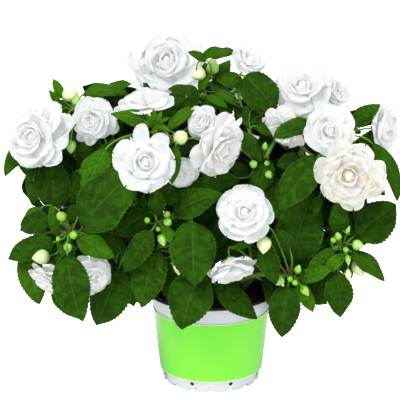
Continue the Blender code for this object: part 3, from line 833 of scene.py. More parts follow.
class Branch:
    """A stem or a side shoot: its centre line and its radii, on which stalks stand."""

    def __init__(self, controls, shares, radii, knuckles, swelling):
        self.line = bezier(controls, shares)
        knuckle = swelling * np.exp(-((triangle_wave(shares * knuckles) / KNUCKLE_SPREAD) ** 2))
        self.radii = radii * (1 + knuckle)

    def nearest(self, place):
        """The point of the leafy part that is nearest to this place."""
        leafy = self.line[int(len(self.line) * LEAFY_FROM) :]
        return leafy[np.argmin(np.linalg.norm(leafy - place, axis=1))]


def stem_branch(stem):
    """A main stem, from inside the compost to its tip."""
    foot = at(*stem.foot, SOIL_TOP - STEM_DEPTH)
    shares = np.linspace(0, 1, STEM_POINTS)
    radii = stem.foot_radius + shares * (STEM_TIP_RADIUS - stem.foot_radius)
    controls = [foot, foot + at(0, 0, STEM_RISE), at(*stem.bend), stem.tip]
    return Branch(controls, shares, radii, STEM_KNUCKLES, STEM_SWELLING)


def shoot_branch(parent, tip):
    """A side shoot that leaves its parent along it and ends at tip."""
    tip = at(*tip)
    line = parent.line
    first = int(len(line) * FORKS_FROM)
    gaps = np.linalg.norm(line[first:] - tip, axis=1)
    off = np.abs(line[first:, 2] - tip[2] + FORK_DROP)
    best = first + int(np.argmin(gaps + FORK_WEIGHT * off))
    root = line[best]
    tangent = unit(line[min(best + 1, len(line) - 1)] - line[best - 1])
    bend = root + tangent * np.linalg.norm(tip - root) * SHOOT_BEND
    shares = np.linspace(0, 1, SHOOT_POINTS)
    radii = SHOOT_RADIUS - SHOOT_TAPER * shares
    return Branch([root, bend, tip], shares, radii, SHOOT_KNUCKLES, SHOOT_SWELLING)


def add_stalk(shape, branch, end, heading, radius, look):
    """A stalk from inside the branch to end, where it arrives along heading."""
    root = branch.nearest(end)
    bend = end - heading * (np.linalg.norm(end - root) * STALK_BEND)
    shares = np.linspace(0, 1, STALK_POINTS)
    line = bezier([root, bend, end], shares)
    points, faces = tube(line, radius * (STALK_FOOT - STALK_TAPER * shares), STALK_SIDES)
    shape.add(points, faces, look, along=np.append(np.repeat(shares, STALK_SIDES), (0, 1)))


def leaf_outline(u):
    """Half the width of a pointed oval leaf at each share of its length, at most 1."""
    oval = u**LEAF_WIDENING * (1 - u) ** LEAF_NARROWING
    return np.maximum(oval / LEAF_PEAK, LEAF_LEAST)


def leaf_steps(length):
    """Two shares of a leaf's length for each tooth, and how far the edge stands out there."""
    teeth = max(round(length / TOOTH_PITCH), FEWEST_TEETH)
    starts = np.arange(teeth) / teeth
    shares = np.stack([starts, starts + TOOTH_RISE / teeth], axis=1).ravel()
    return np.append(shares, 1.0), np.append(np.tile((-0.5, 0.5), teeth), 0.0)


def leaf_columns(leaf, length):
    if leaf.name == "fill":
        return FILL_LEAF_COLUMNS
    return SMALL_LEAF_COLUMNS if length < SMALL_LEAF_LENGTH else LEAF_COLUMNS


def leaf_midrib(leaf, length, u, random):
    """The arched line down the middle of a leaf, with the directions across it and up from it."""
    axis = leaf.tip - leaf.base
    face = np.asarray(leaf.face or FRONT_FACE, dtype=float)
    face = unit(face - axis * (np.dot(face, axis) / np.dot(axis, axis)))
    sideways = unit(np.cross(axis, face)) * random.uniform(-LEAF_SWAY, LEAF_SWAY) * length
    crest = (leaf.base + leaf.tip) / 2 + face * (2 * leaf.arch * length) + sideways
    line = bezier([leaf.base, crest, leaf.tip], u)
    tangent = unit(np.gradient(line, axis=0))
    side = unit(np.cross(tangent, face))
    return line, side, np.cross(side, tangent)


def leaf_grid(leaf, random):
    """The middle surface of a leaf with its arch, fold, teeth and quilting, and its shares."""
    length = np.linalg.norm(leaf.tip - leaf.base)
    u, tooth = leaf_steps(length)
    v = np.linspace(-1, 1, leaf_columns(leaf, length))
    line, side, up = leaf_midrib(leaf, length, u, random)
    half = leaf.width / 2 * leaf_outline(u)
    across = np.outer(half, v) * (1 + TOOTH_DEPTH * np.outer(tooth, np.abs(v) ** TOOTH_POWER))
    lift = leaf_folds(leaf.width, across, u, v, random) + leaf_relief(u, v, leaf.width)
    grid = line[:, None, :] + across[..., None] * side[:, None, :] + lift[..., None] * up[:, None, :]
    return grid, u, v


def leaf_folds(width, across, u, v, random):
    """The height of a leaf's fold along its middle, its domed halves and its wavy edge."""
    fold = random.uniform(*LEAF_FOLD)
    wave = random.uniform(*LEAF_WAVE)
    turns = WAVE_TURNS * u[:, None] + random.uniform(0, 1) + WAVE_OFFSET * np.sign(v)[None, :]
    lift = fold * np.abs(across) - LEAF_DOME * across**2 / (width / 2)
    return lift + wave * width / 2 * np.abs(v)[None, :] ** WAVE_POWER * np.sin(math.tau * turns)


def leaf_relief(u, v, width):
    """The quilting between the side veins, which sinks along each vein and at the middle."""
    veins = triangle_wave((u[:, None] - VEIN_ARCH * np.abs(v)[None, :] ** VEIN_BOW) * VEIN_PAIRS)
    quilt = QUILT_HEIGHT * width * smooth(veins * QUILT_STEEPNESS)
    fade = smooth((1 - np.abs(v)) * EDGE_FADE)[None, :] * smooth((1 - u) * TIP_FADE)[:, None]
    groove = GROOVE_DEPTH * width * np.exp(-((v / GROOVE_WIDTH) ** 2))[None, :] * (1 - u)[:, None]
    return quilt * fade - groove


def add_leaf(shape, leaf, branch, random):
    """A leaf blade, and the stalk that holds it on its branch."""
    grid, u, v = leaf_grid(leaf, random)
    under = np.repeat((0.0, 1.0), len(u) * len(v))
    # A fill leaf gets a darker tone, painted shade for its place inside the mound
    tone = random.uniform(0, FILL_SHADE_TONE if leaf.name == "fill" else 1)
    shape.add_sheet(grid, LEAF_THICKNESS, 0, u, v, under=under, youth=leaf.youth, tone=tone)
    heading = unit(grid[2, len(v) // 2] - grid[0, len(v) // 2])
    radius = min(STALK_RADIUS, FINEST_STALK_RADIUS + leaf.width * STALK_PER_LEAF)
    add_stalk(shape, branch, leaf.base + heading * STALK_OVERLAP, heading, radius, 1)


def petal_outline(s, widest, blunt):
    """Half the width of a petal at each share of its length, at most 1: narrow foot, round end."""
    rise = np.sin(np.minimum(s / widest, 1) * math.pi / 2)
    rising = PETAL_FOOT + (1 - PETAL_FOOT) * rise**PETAL_WIDENING
    falling = np.sqrt(np.maximum(1 - np.maximum((s - widest) / (1 - widest), 0) ** blunt, 0))
    return np.maximum(rising * falling, PETAL_LEAST)


def petal_profile(ring, radius, length, s, random):
    """The slope of a petal from the flower's axis, and how far out and up each share of it lies."""
    lean = ring.lean + random.uniform(-LEAN_CHANCE, LEAN_CHANCE)
    curl = ring.curl + random.uniform(-CURL_CHANCE, CURL_CHANCE)
    slope = np.radians(lean + (curl - lean) * s**PETAL_BENDING)
    step = np.diff(s, prepend=0)
    middle = np.concatenate([[slope[0]], (slope[1:] + slope[:-1]) / 2])
    reach = ring.root * radius + length * np.cumsum(np.sin(middle) * step)
    height = ring.height * radius + length * np.cumsum(np.cos(middle) * step)
    return slope[:, None], reach[:, None], height[:, None]


def petal_section(ring, radius, length, s, v, random):
    """How far the points of a petal lie to its side, above its middle line and past its end."""
    outline = petal_outline(s, random.uniform(*PETAL_WIDEST), random.uniform(*PETAL_BLUNTNESS))
    half = ring.width * radius / 2 * outline * random.uniform(*PETAL_WIDTHS)
    angle = v * ring.cup
    lateral = np.outer(half / ring.cup, np.sin(angle))
    lift = np.outer(half / ring.cup, 1 - np.cos(angle))
    lateral += (random.uniform(-PETAL_SKEW, PETAL_SKEW) * length * s**2)[:, None]
    phase = random.uniform(0, math.tau)
    frill = np.sin(v * random.uniform(*FRILLS) + phase)[None, :] * (FRILL_AT_MIDDLE + np.abs(v))[None, :]
    lift += ring.ruffle * length * (s**2)[:, None] * frill
    notch = np.exp(-(((v - random.uniform(-NOTCH_CHANCE, NOTCH_CHANCE)) / NOTCH_WIDTH) ** 2))
    shift = -NOTCH_DEPTH * length * np.outer(s**PETAL_END, notch)
    shift += CRIMP_DEPTH * length * np.outer(s**PETAL_END, np.sin(v * CRIMPS + phase))
    return lateral, lift, shift


def petal_grid(ring, azimuth, radius, random, rows=PETAL_ROWS, columns=PETAL_COLUMNS):
    """The middle surface of one petal, round the flower's +Z, and its shares."""
    s = 1 - (1 - np.linspace(0, 1, rows)) ** ROW_CROWDING
    v = np.linspace(-1, 1, columns)
    length = ring.length * radius * random.uniform(*PETAL_LENGTHS)
    slope, reach, height = petal_profile(ring, radius, length, s, random)
    lateral, lift, shift = petal_section(ring, radius, length, s, v, random)
    radial = reach - lift * np.cos(slope) + shift * np.sin(slope)
    upward = height + lift * np.sin(slope) + shift * np.cos(slope)
    x = radial * math.cos(azimuth) - lateral * math.sin(azimuth)
    y = radial * math.sin(azimuth) + lateral * math.cos(azimuth)
    return np.stack([x, y, upward], axis=-1), s, v


def flower_axes(face):
    """Three unit axes, the last along the flower's face."""
    forward = unit(np.asarray(face, dtype=float))
    helper = at(0, 0, 1) if abs(forward[2]) < 0.9 else at(0, -1, 0)
    side = unit(np.cross(helper, forward))
    return np.stack([side, np.cross(forward, side), forward])


def add_petals(shape, flower, random):
    """The rings of petals of a flower, its outer petals that are placed one by one, and its core."""
    axes = flower_axes(flower.face)
    azimuth = math.radians(flower.spin)
    rings = HABITS[flower.habit]
    aged = AGED_HABITS.get(flower.habit, 0.0)
    for level, ring in enumerate(rings):
        inner = level / (len(rings) - 1)
        for _ in range(ring.count):
            add_petal(shape, flower, ring, azimuth, axes, random, inner, aged)
            chance = random.uniform(-TURN_CHANCE, TURN_CHANCE)
            azimuth += math.tau / ring.count + math.radians(chance)
        azimuth += math.pi / ring.count
    for turn, *form in OUTER_PETALS.get(flower.name, ()):
        ring = Ring(1, *form, *OUTER_FORM)
        add_petal(shape, flower, ring, math.radians(turn), axes, random, 0.0, aged)
    if flower.habit != CORELESS_HABIT:
        add_core(shape, flower.centre, axes, flower.diameter / 2, aged)
    return axes


def add_petal(shape, flower, ring, azimuth, axes, random, inner, aged):
    grid, s, v = petal_grid(ring, azimuth, flower.diameter / 2, random)
    tone = random.uniform(0, 1)
    grid = grid @ axes + flower.centre
    shape.add_sheet(grid, PETAL_THICKNESS, 0, s, v, inner=inner, aged=aged, tone=tone)


def add_core(shape, centre, axes, radius, aged):
    """The rolled middle of a double flower, with the seams of its petals winding over it."""
    share = np.linspace(0, 1, CORE_ROWS)
    angle = round_angles(CORE_SIDES)
    dome = np.maximum(np.sqrt(np.clip(1 - share**CORE_BLUNTNESS, 0, 1)), CORE_LEAST)
    profile = dome * (CORE_WAIST + CORE_SWELL * smooth(share * 2))
    ridge = (0.5 + 0.5 * np.cos(2 * (angle[None, :] + CORE_WINDING * share[:, None]))) ** 4
    narrowing = 1 - CORE_SEAM * ridge * smooth(share * 3)[:, None]
    reach = CORE_RADIUS * radius * profile[:, None] * narrowing
    rise = CORE_HEIGHT * share[:, None] - CORE_SINK
    height = radius * (rise - CORE_RIDGE * ridge * (1 - share[:, None]))
    grid = np.stack([reach * np.cos(angle), reach * np.sin(angle), height], axis=-1).reshape(-1, 3)
    ends = axis_ends(-CORE_SINK * radius, (CORE_HEIGHT - CORE_SINK) * radius)
    points = np.concatenate([grid, ends]) @ axes + centre
    along = np.append(np.repeat(0.5 + 0.4 * share, CORE_SIDES), (0.5, 0.9))
    faces = tube_faces(CORE_ROWS, CORE_SIDES)
    shape.add(points, faces, 0, along=along, inner=0.8, aged=aged, tone=0.5)


def add_sepals(shape, centre, axes, reach, lean, width, youth):
    """Small pointed green sepals round the foot of a flower or a bud."""
    ring = Ring(SEPAL_COUNT, 1.0, width, lean, lean + SEPAL_CURL, *SEPAL_FORM)
    fixed = np.random.RandomState(SEED)
    for i in range(SEPAL_COUNT):
        azimuth = math.tau * (i + 0.3) / SEPAL_COUNT
        grid, s, v = petal_grid(ring, azimuth, reach, fixed, SEPAL_ROWS, SEPAL_COLUMNS)
        shape.add_sheet(grid @ axes + centre, PETAL_THICKNESS, 1, s, v, youth=youth)


def add_flower_stalk(shape, flower, axes, branch):
    back = flower.centre - axes[2] * flower.diameter * FLOWER_BACK
    add_stalk(shape, branch, back, axes[2], THIN_STALK_RADIUS, 0)
    foot = back - axes[2] * 0.5
    reach = flower.diameter * SEPAL_LENGTH
    add_sepals(shape, foot, axes, reach, lean=50, width=0.55, youth=0.5)


def add_bud(shape, bud, branch):
    """A closed bud: a pointed oval with the lines of its folded petals, on a thin stalk."""
    axes = flower_axes(bud.axis)
    share = np.linspace(0, 1, BUD_ROWS)
    angle = round_angles(BUD_SIDES)
    belly = np.sin(math.pi * share**BUD_BELLY) ** BUD_FULLNESS
    profile = belly * (1 - BUD_TAPER * share)
    profile = np.maximum(profile / profile.max(), BUD_LEAST)
    seams = BUD_SEAM * np.cos(3 * (angle[None, :] + BUD_WINDING * share[:, None]))
    reach = bud.width / 2 * profile[:, None] * (1 - np.abs(seams))
    height = np.repeat((share - 0.5)[:, None] * bud.length, BUD_SIDES, axis=1)
    grid = np.stack([reach * np.cos(angle), reach * np.sin(angle), height], axis=-1).reshape(-1, 3)
    points = np.concatenate([grid, axis_ends(-0.5 * bud.length, 0.5 * bud.length)]) @ axes + bud.centre
    along = np.append(np.repeat(share, BUD_SIDES), (0, 1))
    shape.add(points, tube_faces(BUD_ROWS, BUD_SIDES), 0, along=along, youth=bud.youth)
    back = bud.centre - axes[2] * bud.length * BUD_BACK
    reach = bud.length * BUD_SEPAL_LENGTH
    add_sepals(shape, back, axes, reach, lean=40, width=0.5, youth=bud.youth)
    radius = min(THIN_STALK_RADIUS, FINEST_STALK_RADIUS + bud.width * STALK_PER_BUD)
    add_stalk(shape, branch, back, axes[2], radius, 1)


def inside_outline(place):
    """Whether this place shows inside the plant's outline."""
    x, y = pixel_of(place)
    inside = False
    for (x1, y1), (x2, y2) in zip(OUTLINE, OUTLINE[1:] + OUTLINE[:1]):
        if (y1 > y) != (y2 > y) and x < x1 + (y - y1) * (x2 - x1) / (y2 - y1):
            inside = not inside
    return inside


def hides_flower(leaf):
    """Whether this leaf would show in front of a flower that faces the eye."""
    for flower in FLOWERS:
        if flower.face[1] > 0:
            continue
        x, y = pixel_of(flower.centre)
        for place in (leaf.base, (leaf.base + leaf.tip) / 2, leaf.tip):
            across, up = pixel_of(place)
            near = math.hypot(across - x, up - y) < flower.diameter * FLOWER_CLEARANCE
            if near and place[1] < flower.centre[1] + flower.diameter / 4:
                return True
    return False


def fits(leaf):
    """Whether a fill leaf keeps behind the leaves and flowers that were placed one by one."""
    if min(leaf.tip[1], leaf.base[1]) < FILL_FRONT:
        return False
    return inside_outline(leaf.tip) and not hides_flower(leaf)


def whorl(branch, shoot, random):
    """Leaves that spiral round the outer part of a stem or side shoot, where they fit."""
    leaves = []
    azimuth = random.uniform(0, 360)
    heading = unit(branch.line[-1] - branch.line[-6])
    outward = unit(branch.line[-1] * at(1, 1, 0.25) - at(*MOUND_MIDDLE))
    axes = flower_axes(unit(heading + outward * 0.7))
    for i in range(shoot.leaves):
        place = 1.0 - shoot.span * i / shoot.leaves
        node = branch.line[int((len(branch.line) - 1) * place)]
        growth = TIP_LEAF_SIZE + LEAF_GROWTH * min(1.0, i / GROWTH_STEPS)
        size = shoot.size * growth * random.uniform(*FILL_SIZES)
        youth = TIP_YOUTH * max(0.0, 1 - i / YOUNG_LEAVES) * shoot.fresh + random.uniform(*FILL_YOUTHS)
        for _ in range(FILL_TRIES):
            azimuth += GOLDEN_ANGLE
            leaf = fill_leaf(node, axes, outward, azimuth, size, youth, random)
            if fits(leaf):
                leaves.append(leaf)
                break
    return leaves


def fill_leaf(node, axes, outward, azimuth, size, youth, random):
    """A leaf that stands off a twig at this azimuth round it, and hangs a little."""
    turn = math.radians(azimuth)
    around = axes[0] * math.cos(turn) + axes[1] * math.sin(turn)
    spread = unit(around + axes[2] * random.uniform(*FILL_SPREADS) + at(0, 0, -STALK_DROOP))
    base = node + spread * size * FILL_STALK + at(0, 0, 2)
    tip = base + unit(spread + at(0, 0, -LEAF_DROOP)) * size
    face = unit(axes[2] + outward * 0.5 + at(0, 0, 0.5))
    width = size * random.uniform(*FILL_WIDTHS)
    return Leaf("fill", None, base, tip, width, tuple(face), random.uniform(*FILL_ARCHES), youth)


class Look:
    """Short calls for building one procedural material."""

    def __init__(self, name):
        self.material = bpy.data.materials.new(name)
        self.material.use_nodes = True
        self.tree = self.material.node_tree
        self.shader = self.tree.nodes["Principled BSDF"]

    def put(self, socket, value):
        """Links the value where it is a socket, or else sets it, with full alpha on a colour."""
        if isinstance(value, bpy.types.NodeSocket):
            self.tree.links.new(value, socket)
        elif socket.type == "RGBA":
            socket.default_value = (*value, 1)
        elif value is not None:
            socket.default_value = value

    def set(self, **values):
        for name, value in values.items():
            self.put(self.shader.inputs[name.replace("_", " ")], value)

    def point(self, name):
        """The value of this name that the mesh holds at each point."""
        found = self.tree.nodes.new("ShaderNodeAttribute")
        found.attribute_name = name
        return found.outputs["Fac"]

    def place(self):
        return self.tree.nodes.new("ShaderNodeTexCoord").outputs["Object"]

    def split(self, vector):
        found = self.tree.nodes.new("ShaderNodeSeparateXYZ")
        self.put(found.inputs[0], vector)
        return found.outputs

    def vector(self, x, y, z):
        made = self.tree.nodes.new("ShaderNodeCombineXYZ")
        for socket, value in zip(made.inputs, (x, y, z)):
            self.put(socket, value)
        return made.outputs[0]

    def calculate(self, operation, a, b=None, clamp=False):
        made = self.tree.nodes.new("ShaderNodeMath")
        made.operation = operation
        made.use_clamp = clamp
        self.put(made.inputs[0], a)
        self.put(made.inputs[1], b)
        return made.outputs[0]

    def times(self, a, b):
        return self.calculate("MULTIPLY", a, b)

    def plus(self, a, b, clamp=False):
        return self.calculate("ADD", a, b, clamp)

    def spread(self, value, span, low):
        """The value, which runs from 0 to 1, stretched over this span from low."""
        return self.plus(self.times(value, span), low)

    def step(self, value, low, high):
        """0 below low, 1 above high, and soft in between. Low may be above high."""
        made = self.tree.nodes.new("ShaderNodeMapRange")
        made.interpolation_type = "SMOOTHSTEP"
        ends = (low, high, 0.0, 1.0) if low < high else (high, low, 1.0, 0.0)
        self.put(made.inputs[0], value)
        for socket, end in zip(list(made.inputs)[1:5], ends):
            socket.default_value = end
        return made.outputs[0]

    def noise(self, vector, scale, detail=3.0, rough=0.55):
        made = self.tree.nodes.new("ShaderNodeTexNoise")
        self.put(made.inputs["Vector"], vector)
        made.inputs["Scale"].default_value = scale
        made.inputs["Detail"].default_value = detail
        made.inputs["Roughness"].default_value = rough
        return made.outputs["Fac"]

    def clouds(self, scale, detail=3.0, rough=0.55):
        """Noise that is fixed to the object."""
        return self.noise(self.place(), scale, detail, rough)

    def mix(self, share, a, b):
        made = self.tree.nodes.new("ShaderNodeMix")
        made.data_type = "RGBA"
        self.put(made.inputs[0], share)
        self.put(made.inputs[6], a)
        self.put(made.inputs[7], b)
        return made.outputs[2]

    def finish(self, colour, rough, height, strength, depth, **values):
        """Sets the shader, with a bump of this strength and depth, and gives the material."""
        bump = self.tree.nodes.new("ShaderNodeBump")
        bump.inputs["Strength"].default_value = strength
        bump.inputs["Distance"].default_value = depth * MM
        self.put(bump.inputs["Height"], height)
        self.set(Base_Color=colour, Roughness=rough, Normal=bump.outputs[0], **values)
        return self.material


def leaf_look():
    """Glossy green with a pale middle vein, arching side veins, and lime where the leaf is young."""
    look = Look("leaf")
    u = look.point("along")
    v = look.calculate("ABSOLUTE", look.point("across"))
    tone = look.point("tone")
    under = look.point("under")
    quilts = look.clouds(150.0, 2.0)
    patches = look.clouds(60.0, 5.0, 0.65)
    fine = look.clouds(420.0)

    bent = look.times(look.calculate("POWER", v, VEIN_BOW), VEIN_ARCH)
    phase = look.times(look.calculate("SUBTRACT", u, bent), VEIN_PAIRS)
    phase = look.plus(phase, look.times(quilts, 0.7))
    from_vein = look.calculate("PINGPONG", phase, 0.5)
    side_vein = look.times(look.step(from_vein, 0.07, 0.0), look.step(v, 1.0, 0.75))
    side_vein = look.times(look.times(side_vein, look.step(quilts, 0.35, 0.6)), 0.45)
    veins = look.calculate("MAXIMUM", side_vein, look.step(v, 0.075, 0.02))
    # The mask is 1 inside each quilted cell between the side veins: it raises the bump there and also
    # paints a highlight there
    cell_bump_and_highlight = look.times(look.step(from_vein, 0.0, 0.3), look.step(v, 0.0, 0.15))

    dark = look.mix(tone, (0.0020, 0.009, 0.0002), (0.0050, 0.020, 0.0003))
    light = look.mix(tone, (0.010, 0.046, 0.0003), (0.035, 0.128, 0.0006))
    mottle = look.plus(look.times(patches, 0.45), look.times(quilts, 0.45))
    # Painted highlight: the blade is lighter in the middle of each quilted cell, so the side veins look
    # shaded
    mottle = look.plus(mottle, look.times(cell_bump_and_highlight, 0.07))
    blade = look.mix(look.step(mottle, 0.44, 0.58), dark, light)
    tip = look.times(look.step(u, 0.60, 1.0), look.times(tone, 0.32))
    fresh = look.plus(look.point("youth"), tip, True)
    lime = look.mix(patches, (0.075, 0.27, 0.003), (0.16, 0.42, 0.006))
    blade = look.mix(fresh, blade, lime)
    pale = look.mix(fresh, (0.060, 0.150, 0.020), (0.30, 0.56, 0.08))
    blade = look.mix(look.times(veins, 0.7), blade, pale)
    blade = look.mix(look.times(look.step(v, 0.90, 1.0), 0.6), blade, (0.11, 0.30, 0.015))
    blade = look.mix(look.times(under, 0.5), blade, (0.035, 0.10, 0.015))

    rough = look.plus(look.spread(patches, 0.16, 0.24), look.times(under, 0.2))
    height = look.plus(look.times(cell_bump_and_highlight, 0.25), look.times(fine, 0.3))
    height = look.plus(height, look.times(quilts, 2.6))
    look.set(Specular_IOR_Level=0.30, Specular_Tint=(0.5, 1.0, 0.05))
    return look.finish(blade, rough, height, 0.8, 1.4)


def stalk_look():
    """Pale translucent green, a little redder towards the stem."""
    look = Look("stalk")
    streaks = look.clouds(220.0)
    fresh = look.mix(streaks, (0.12, 0.28, 0.03), (0.20, 0.38, 0.06))
    flushed = look.mix(streaks, (0.20, 0.22, 0.05), (0.30, 0.20, 0.08))
    colour = look.mix(look.step(look.point("along"), 0.3, 0.0), fresh, flushed)
    green = look.mix(streaks, (0.10, 0.33, 0.02), (0.24, 0.50, 0.05))
    colour = look.mix(look.point("youth"), colour, green)
    look.set(Subsurface_Weight=0.15, Subsurface_Scale=0.001)
    return look.finish(colour, look.spread(streaks, 0.2, 0.3), streaks, 0.2, 0.2)


def stem_look():
    """Fleshy green, flushed red towards the compost, with fine lengthwise streaks."""
    look = Look("stem")
    x, y, z = look.split(look.place())
    streaks = look.noise(look.vector(x, y, look.times(z, 0.12)), 900.0)
    patches = look.clouds(90.0)
    green = look.mix(streaks, (0.10, 0.26, 0.03), (0.20, 0.38, 0.06))
    red = look.mix(streaks, (0.20, 0.07, 0.03), (0.32, 0.13, 0.06))
    height = look.plus(z, look.times(patches, 0.03))
    colour = look.mix(look.step(height, 0.125, 0.08), green, red)
    return look.finish(colour, look.spread(patches, 0.2, 0.25), streaks, 0.25, 0.2)


def petal_look():
    """Soft white with fine lines, cream or pink at the foot, blush in the middle, tan where aged, and a
    faint painted glow that lifts the shade between the petals.
    """
    look = Look("petal")
    u = look.point("along")
    tone = look.point("tone")
    aged = look.point("aged")
    across = look.times(look.point("across"), 9.0)
    fan = look.vector(across, look.times(u, 1.6), look.times(tone, 30.0))
    lines = look.noise(fan, 1.0, 2.0)
    clouds = look.clouds(120.0)
    white = look.mix(lines, (0.70, 0.72, 0.718), (0.645, 0.665, 0.665))
    foot = look.mix(look.step(tone, 0.68, 0.78), (0.71, 0.70, 0.55), (0.70, 0.38, 0.48))
    colour = look.mix(look.times(look.step(u, 0.5, 0.05), 0.7), white, foot)
    blush = look.times(look.step(look.point("inner"), 0.45, 1.0), look.step(clouds, 0.4, 0.7))
    colour = look.mix(look.times(blush, 0.6), colour, (0.76, 0.61, 0.60))
    tan = look.times(look.step(clouds, 0.25, 0.65), aged)
    colour = look.mix(look.times(tan, 0.85), colour, (0.68, 0.59, 0.44))
    brim = look.times(look.step(u, 0.90, 1.0), look.step(clouds, 0.45, 0.6))
    colour = look.mix(look.times(brim, look.times(aged, 0.6)), colour, (0.48, 0.32, 0.18))
    look.set(Subsurface_Weight=0.9, Subsurface_Scale=0.005, Subsurface_Radius=(1.0, 0.95, 0.85))
    # The petals glow a little: painted light that lifts the shade in their folds
    look.set(Emission_Color=(0.96, 0.98, 0.98), Emission_Strength=0.09, Specular_IOR_Level=0.12)
    return look.finish(colour, look.spread(lines, 0.12, 0.5), lines, 0.18, 0.3)


def bud_look():
    """Cream to lime, greener towards the foot."""
    look = Look("bud")
    clouds = look.clouds(260.0)
    cream = look.mix(clouds, (0.80, 0.80, 0.52), (0.90, 0.88, 0.72))
    lime = look.mix(clouds, (0.14, 0.38, 0.008), (0.27, 0.54, 0.02))
    foot = look.times(look.step(look.point("along"), 0.6, 0.0), 0.25)
    colour = look.mix(look.plus(look.point("youth"), foot, True), cream, lime)
    look.set(Subsurface_Weight=0.2, Subsurface_Scale=0.0015)
    return look.finish(colour, look.spread(clouds, 0.2, 0.3), clouds, 0.15, 0.2)


def white_plastic_look():
    look = Look("pot_white")
    grain = look.clouds(900.0, 2.0)
    haze = look.clouds(18.0)
    colour = look.mix(haze, (0.60, 0.64, 0.67), (0.68, 0.71, 0.735))
    look.set(Subsurface_Weight=0.1, Subsurface_Scale=0.002)
    return look.finish(colour, look.spread(haze, 0.15, 0.22), grain, 0.06, 0.1)


def black_plastic_look():
    look = Look("pot_black")
    grain = look.clouds(700.0)
    haze = look.clouds(30.0)
    colour = look.mix(haze, (0.006, 0.006, 0.007), (0.020, 0.020, 0.022))
    return look.finish(colour, look.spread(haze, 0.25, 0.28), grain, 0.12, 0.1)


def label_look():
    """Glossy lime print on film, a little deeper in soft patches, with a painted highlight as a pale
    line along its top and bottom edges.
    """
    look = Look("label")
    z = look.split(look.place())[2]
    haze = look.clouds(14.0, 2.0)
    speckle = look.clouds(1500.0, 2.0)
    # Painted highlight: a pale line along the top and bottom edges of the film
    outer, inner = EDGE_HIGHLIGHT
    low = look.step(z, (LABEL_BOTTOM + outer) * MM, (LABEL_BOTTOM + inner) * MM)
    high = look.step(z, (LABEL_TOP - outer) * MM, (LABEL_TOP - inner) * MM)
    lime = look.mix(haze, (0.225, 0.78, 0.048), (0.275, 0.84, 0.070))
    colour = look.mix(look.calculate("MAXIMUM", low, high), lime, (0.78, 0.88, 0.66))
    look.set(Coat_Weight=1.0, Coat_Roughness=0.12)
    return look.finish(colour, look.spread(haze, 0.12, 0.12), speckle, 0.03, 0.05)


def soil_look():
    look = Look("compost")
    crumbs = look.clouds(420.0, 6.0, 0.7)
    damp = look.clouds(60.0)
    colour = look.mix(crumbs, (0.016, 0.009, 0.006), (0.120, 0.066, 0.038))
    colour = look.mix(look.times(damp, 0.5), colour, (0.020, 0.012, 0.008))
    return look.finish(colour, look.spread(damp, 0.3, 0.6), crumbs, 0.9, 1.2)


def grain_look():
    look = Look("grain")
    specks = look.clouds(600.0, 4.0)
    colour = look.mix(specks, (0.42, 0.36, 0.28), (0.80, 0.77, 0.70))
    return look.finish(colour, look.spread(specks, 0.2, 0.7), specks, 0.5, 0.4)


def wall_radius(height):
    share = (height - LABEL_BOTTOM) / (LABEL_TOP - LABEL_BOTTOM)
    return LABEL_BOTTOM_RADIUS + share * (LABEL_TOP_RADIUS - LABEL_BOTTOM_RADIUS)


def lathe(profile, sides, adjust):
    """A solid of revolution whose profile starts and ends on the axis: its points and faces."""
    angles = round_angles(sides)
    rings = [adjust(level_ring(radius, angles, height), angles) for radius, height in profile[1:-1]]
    ends = axis_ends(profile[0][1], profile[-1][1])
    return np.concatenate(rings + [ends]), tube_faces(len(rings), sides)


def rounded_profile(corners):
    """The profile with each inner corner (radius, height, rounding) turned into a small arc."""
    rounded = [corners[0][:2]]
    for before, corner, after in zip(corners, corners[1:], corners[2:]):
        here = np.array(corner[:2], dtype=float)
        start = here + unit(np.array(before[:2]) - here) * corner[2]
        end = here + unit(np.array(after[:2]) - here) * corner[2]
        for share in np.linspace(0, 1, ARC_POINTS):
            flat = (1 - share) ** 2 * start + 2 * share * (1 - share) * here + share**2 * end
            rounded.append(tuple(flat))
    rounded.append(corners[-1][:2])
    return rounded


def rim_arc():
    angles = np.radians(RIM_ANGLES)
    radius, height = RIM_RADIUS - RIM_ROLL, POT_HEIGHT - RIM_ROLL
    return [(radius + RIM_ROLL * math.cos(a), height + RIM_ROLL * math.sin(a)) for a in angles]


def notch_foot(ring, angles):
    """Lifts the foot ring where its notches are."""
    if ring[0, 2] > NOTCH_HEIGHT or np.hypot(*ring[0, :2]) < FOOT_RADIUS - FOOT_BAND:
        return ring
    spacing = 360.0 / NOTCHES
    off = spacing * triangle_wave(np.degrees(angles) / spacing)
    lift = smooth((NOTCH_HALF_ANGLE + NOTCH_SLOPE / 2 - off) / NOTCH_SLOPE)
    ring[:, 2] += (NOTCH_HEIGHT - ring[:, 2]) * lift
    return ring


def pot_profiles():
    """The pot's outside, from the middle of its underside up, and its inside, from the rim down."""
    flare = LABEL_TOP + BEVEL
    neck = POT_HEIGHT - RIM_ROLL * 2
    neck_radius = RIM_RADIUS - RIM_ROLL
    foot_inside = FOOT_RADIUS - FOOT_BAND
    outside = (
        (0, 0),
        (PAD_RADIUS, 0, 0.6),
        (PAD_RADIUS + BEVEL, FLOOR_UNDERSIDE, 0.6),
        (foot_inside, FLOOR_UNDERSIDE, 0.5),
        (foot_inside + BEVEL, 0, 0.5),
        (FOOT_RADIUS + FOOT_FLARE, 0, 0.7),
        (LABEL_BOTTOM_RADIUS - BEVEL, LABEL_BOTTOM - BEVEL * 2, 0.8),
        (wall_radius(LABEL_BOTTOM - BEVEL), LABEL_BOTTOM - BEVEL, 0.5),
        (wall_radius(flare), flare, 1.2),
        (neck_radius, neck),
    )
    inside = (
        (neck_radius - WALL, neck),
        (neck_radius - WALL - 0.1, neck - 0.2, 0.1),
        (wall_radius(flare) - WALL, flare, 1.2),
        (wall_radius(FLOOR_TOP) - WALL, FLOOR_TOP, 1.0),
        (0, FLOOR_TOP),
    )
    return rounded_profile(outside), rounded_profile(inside)


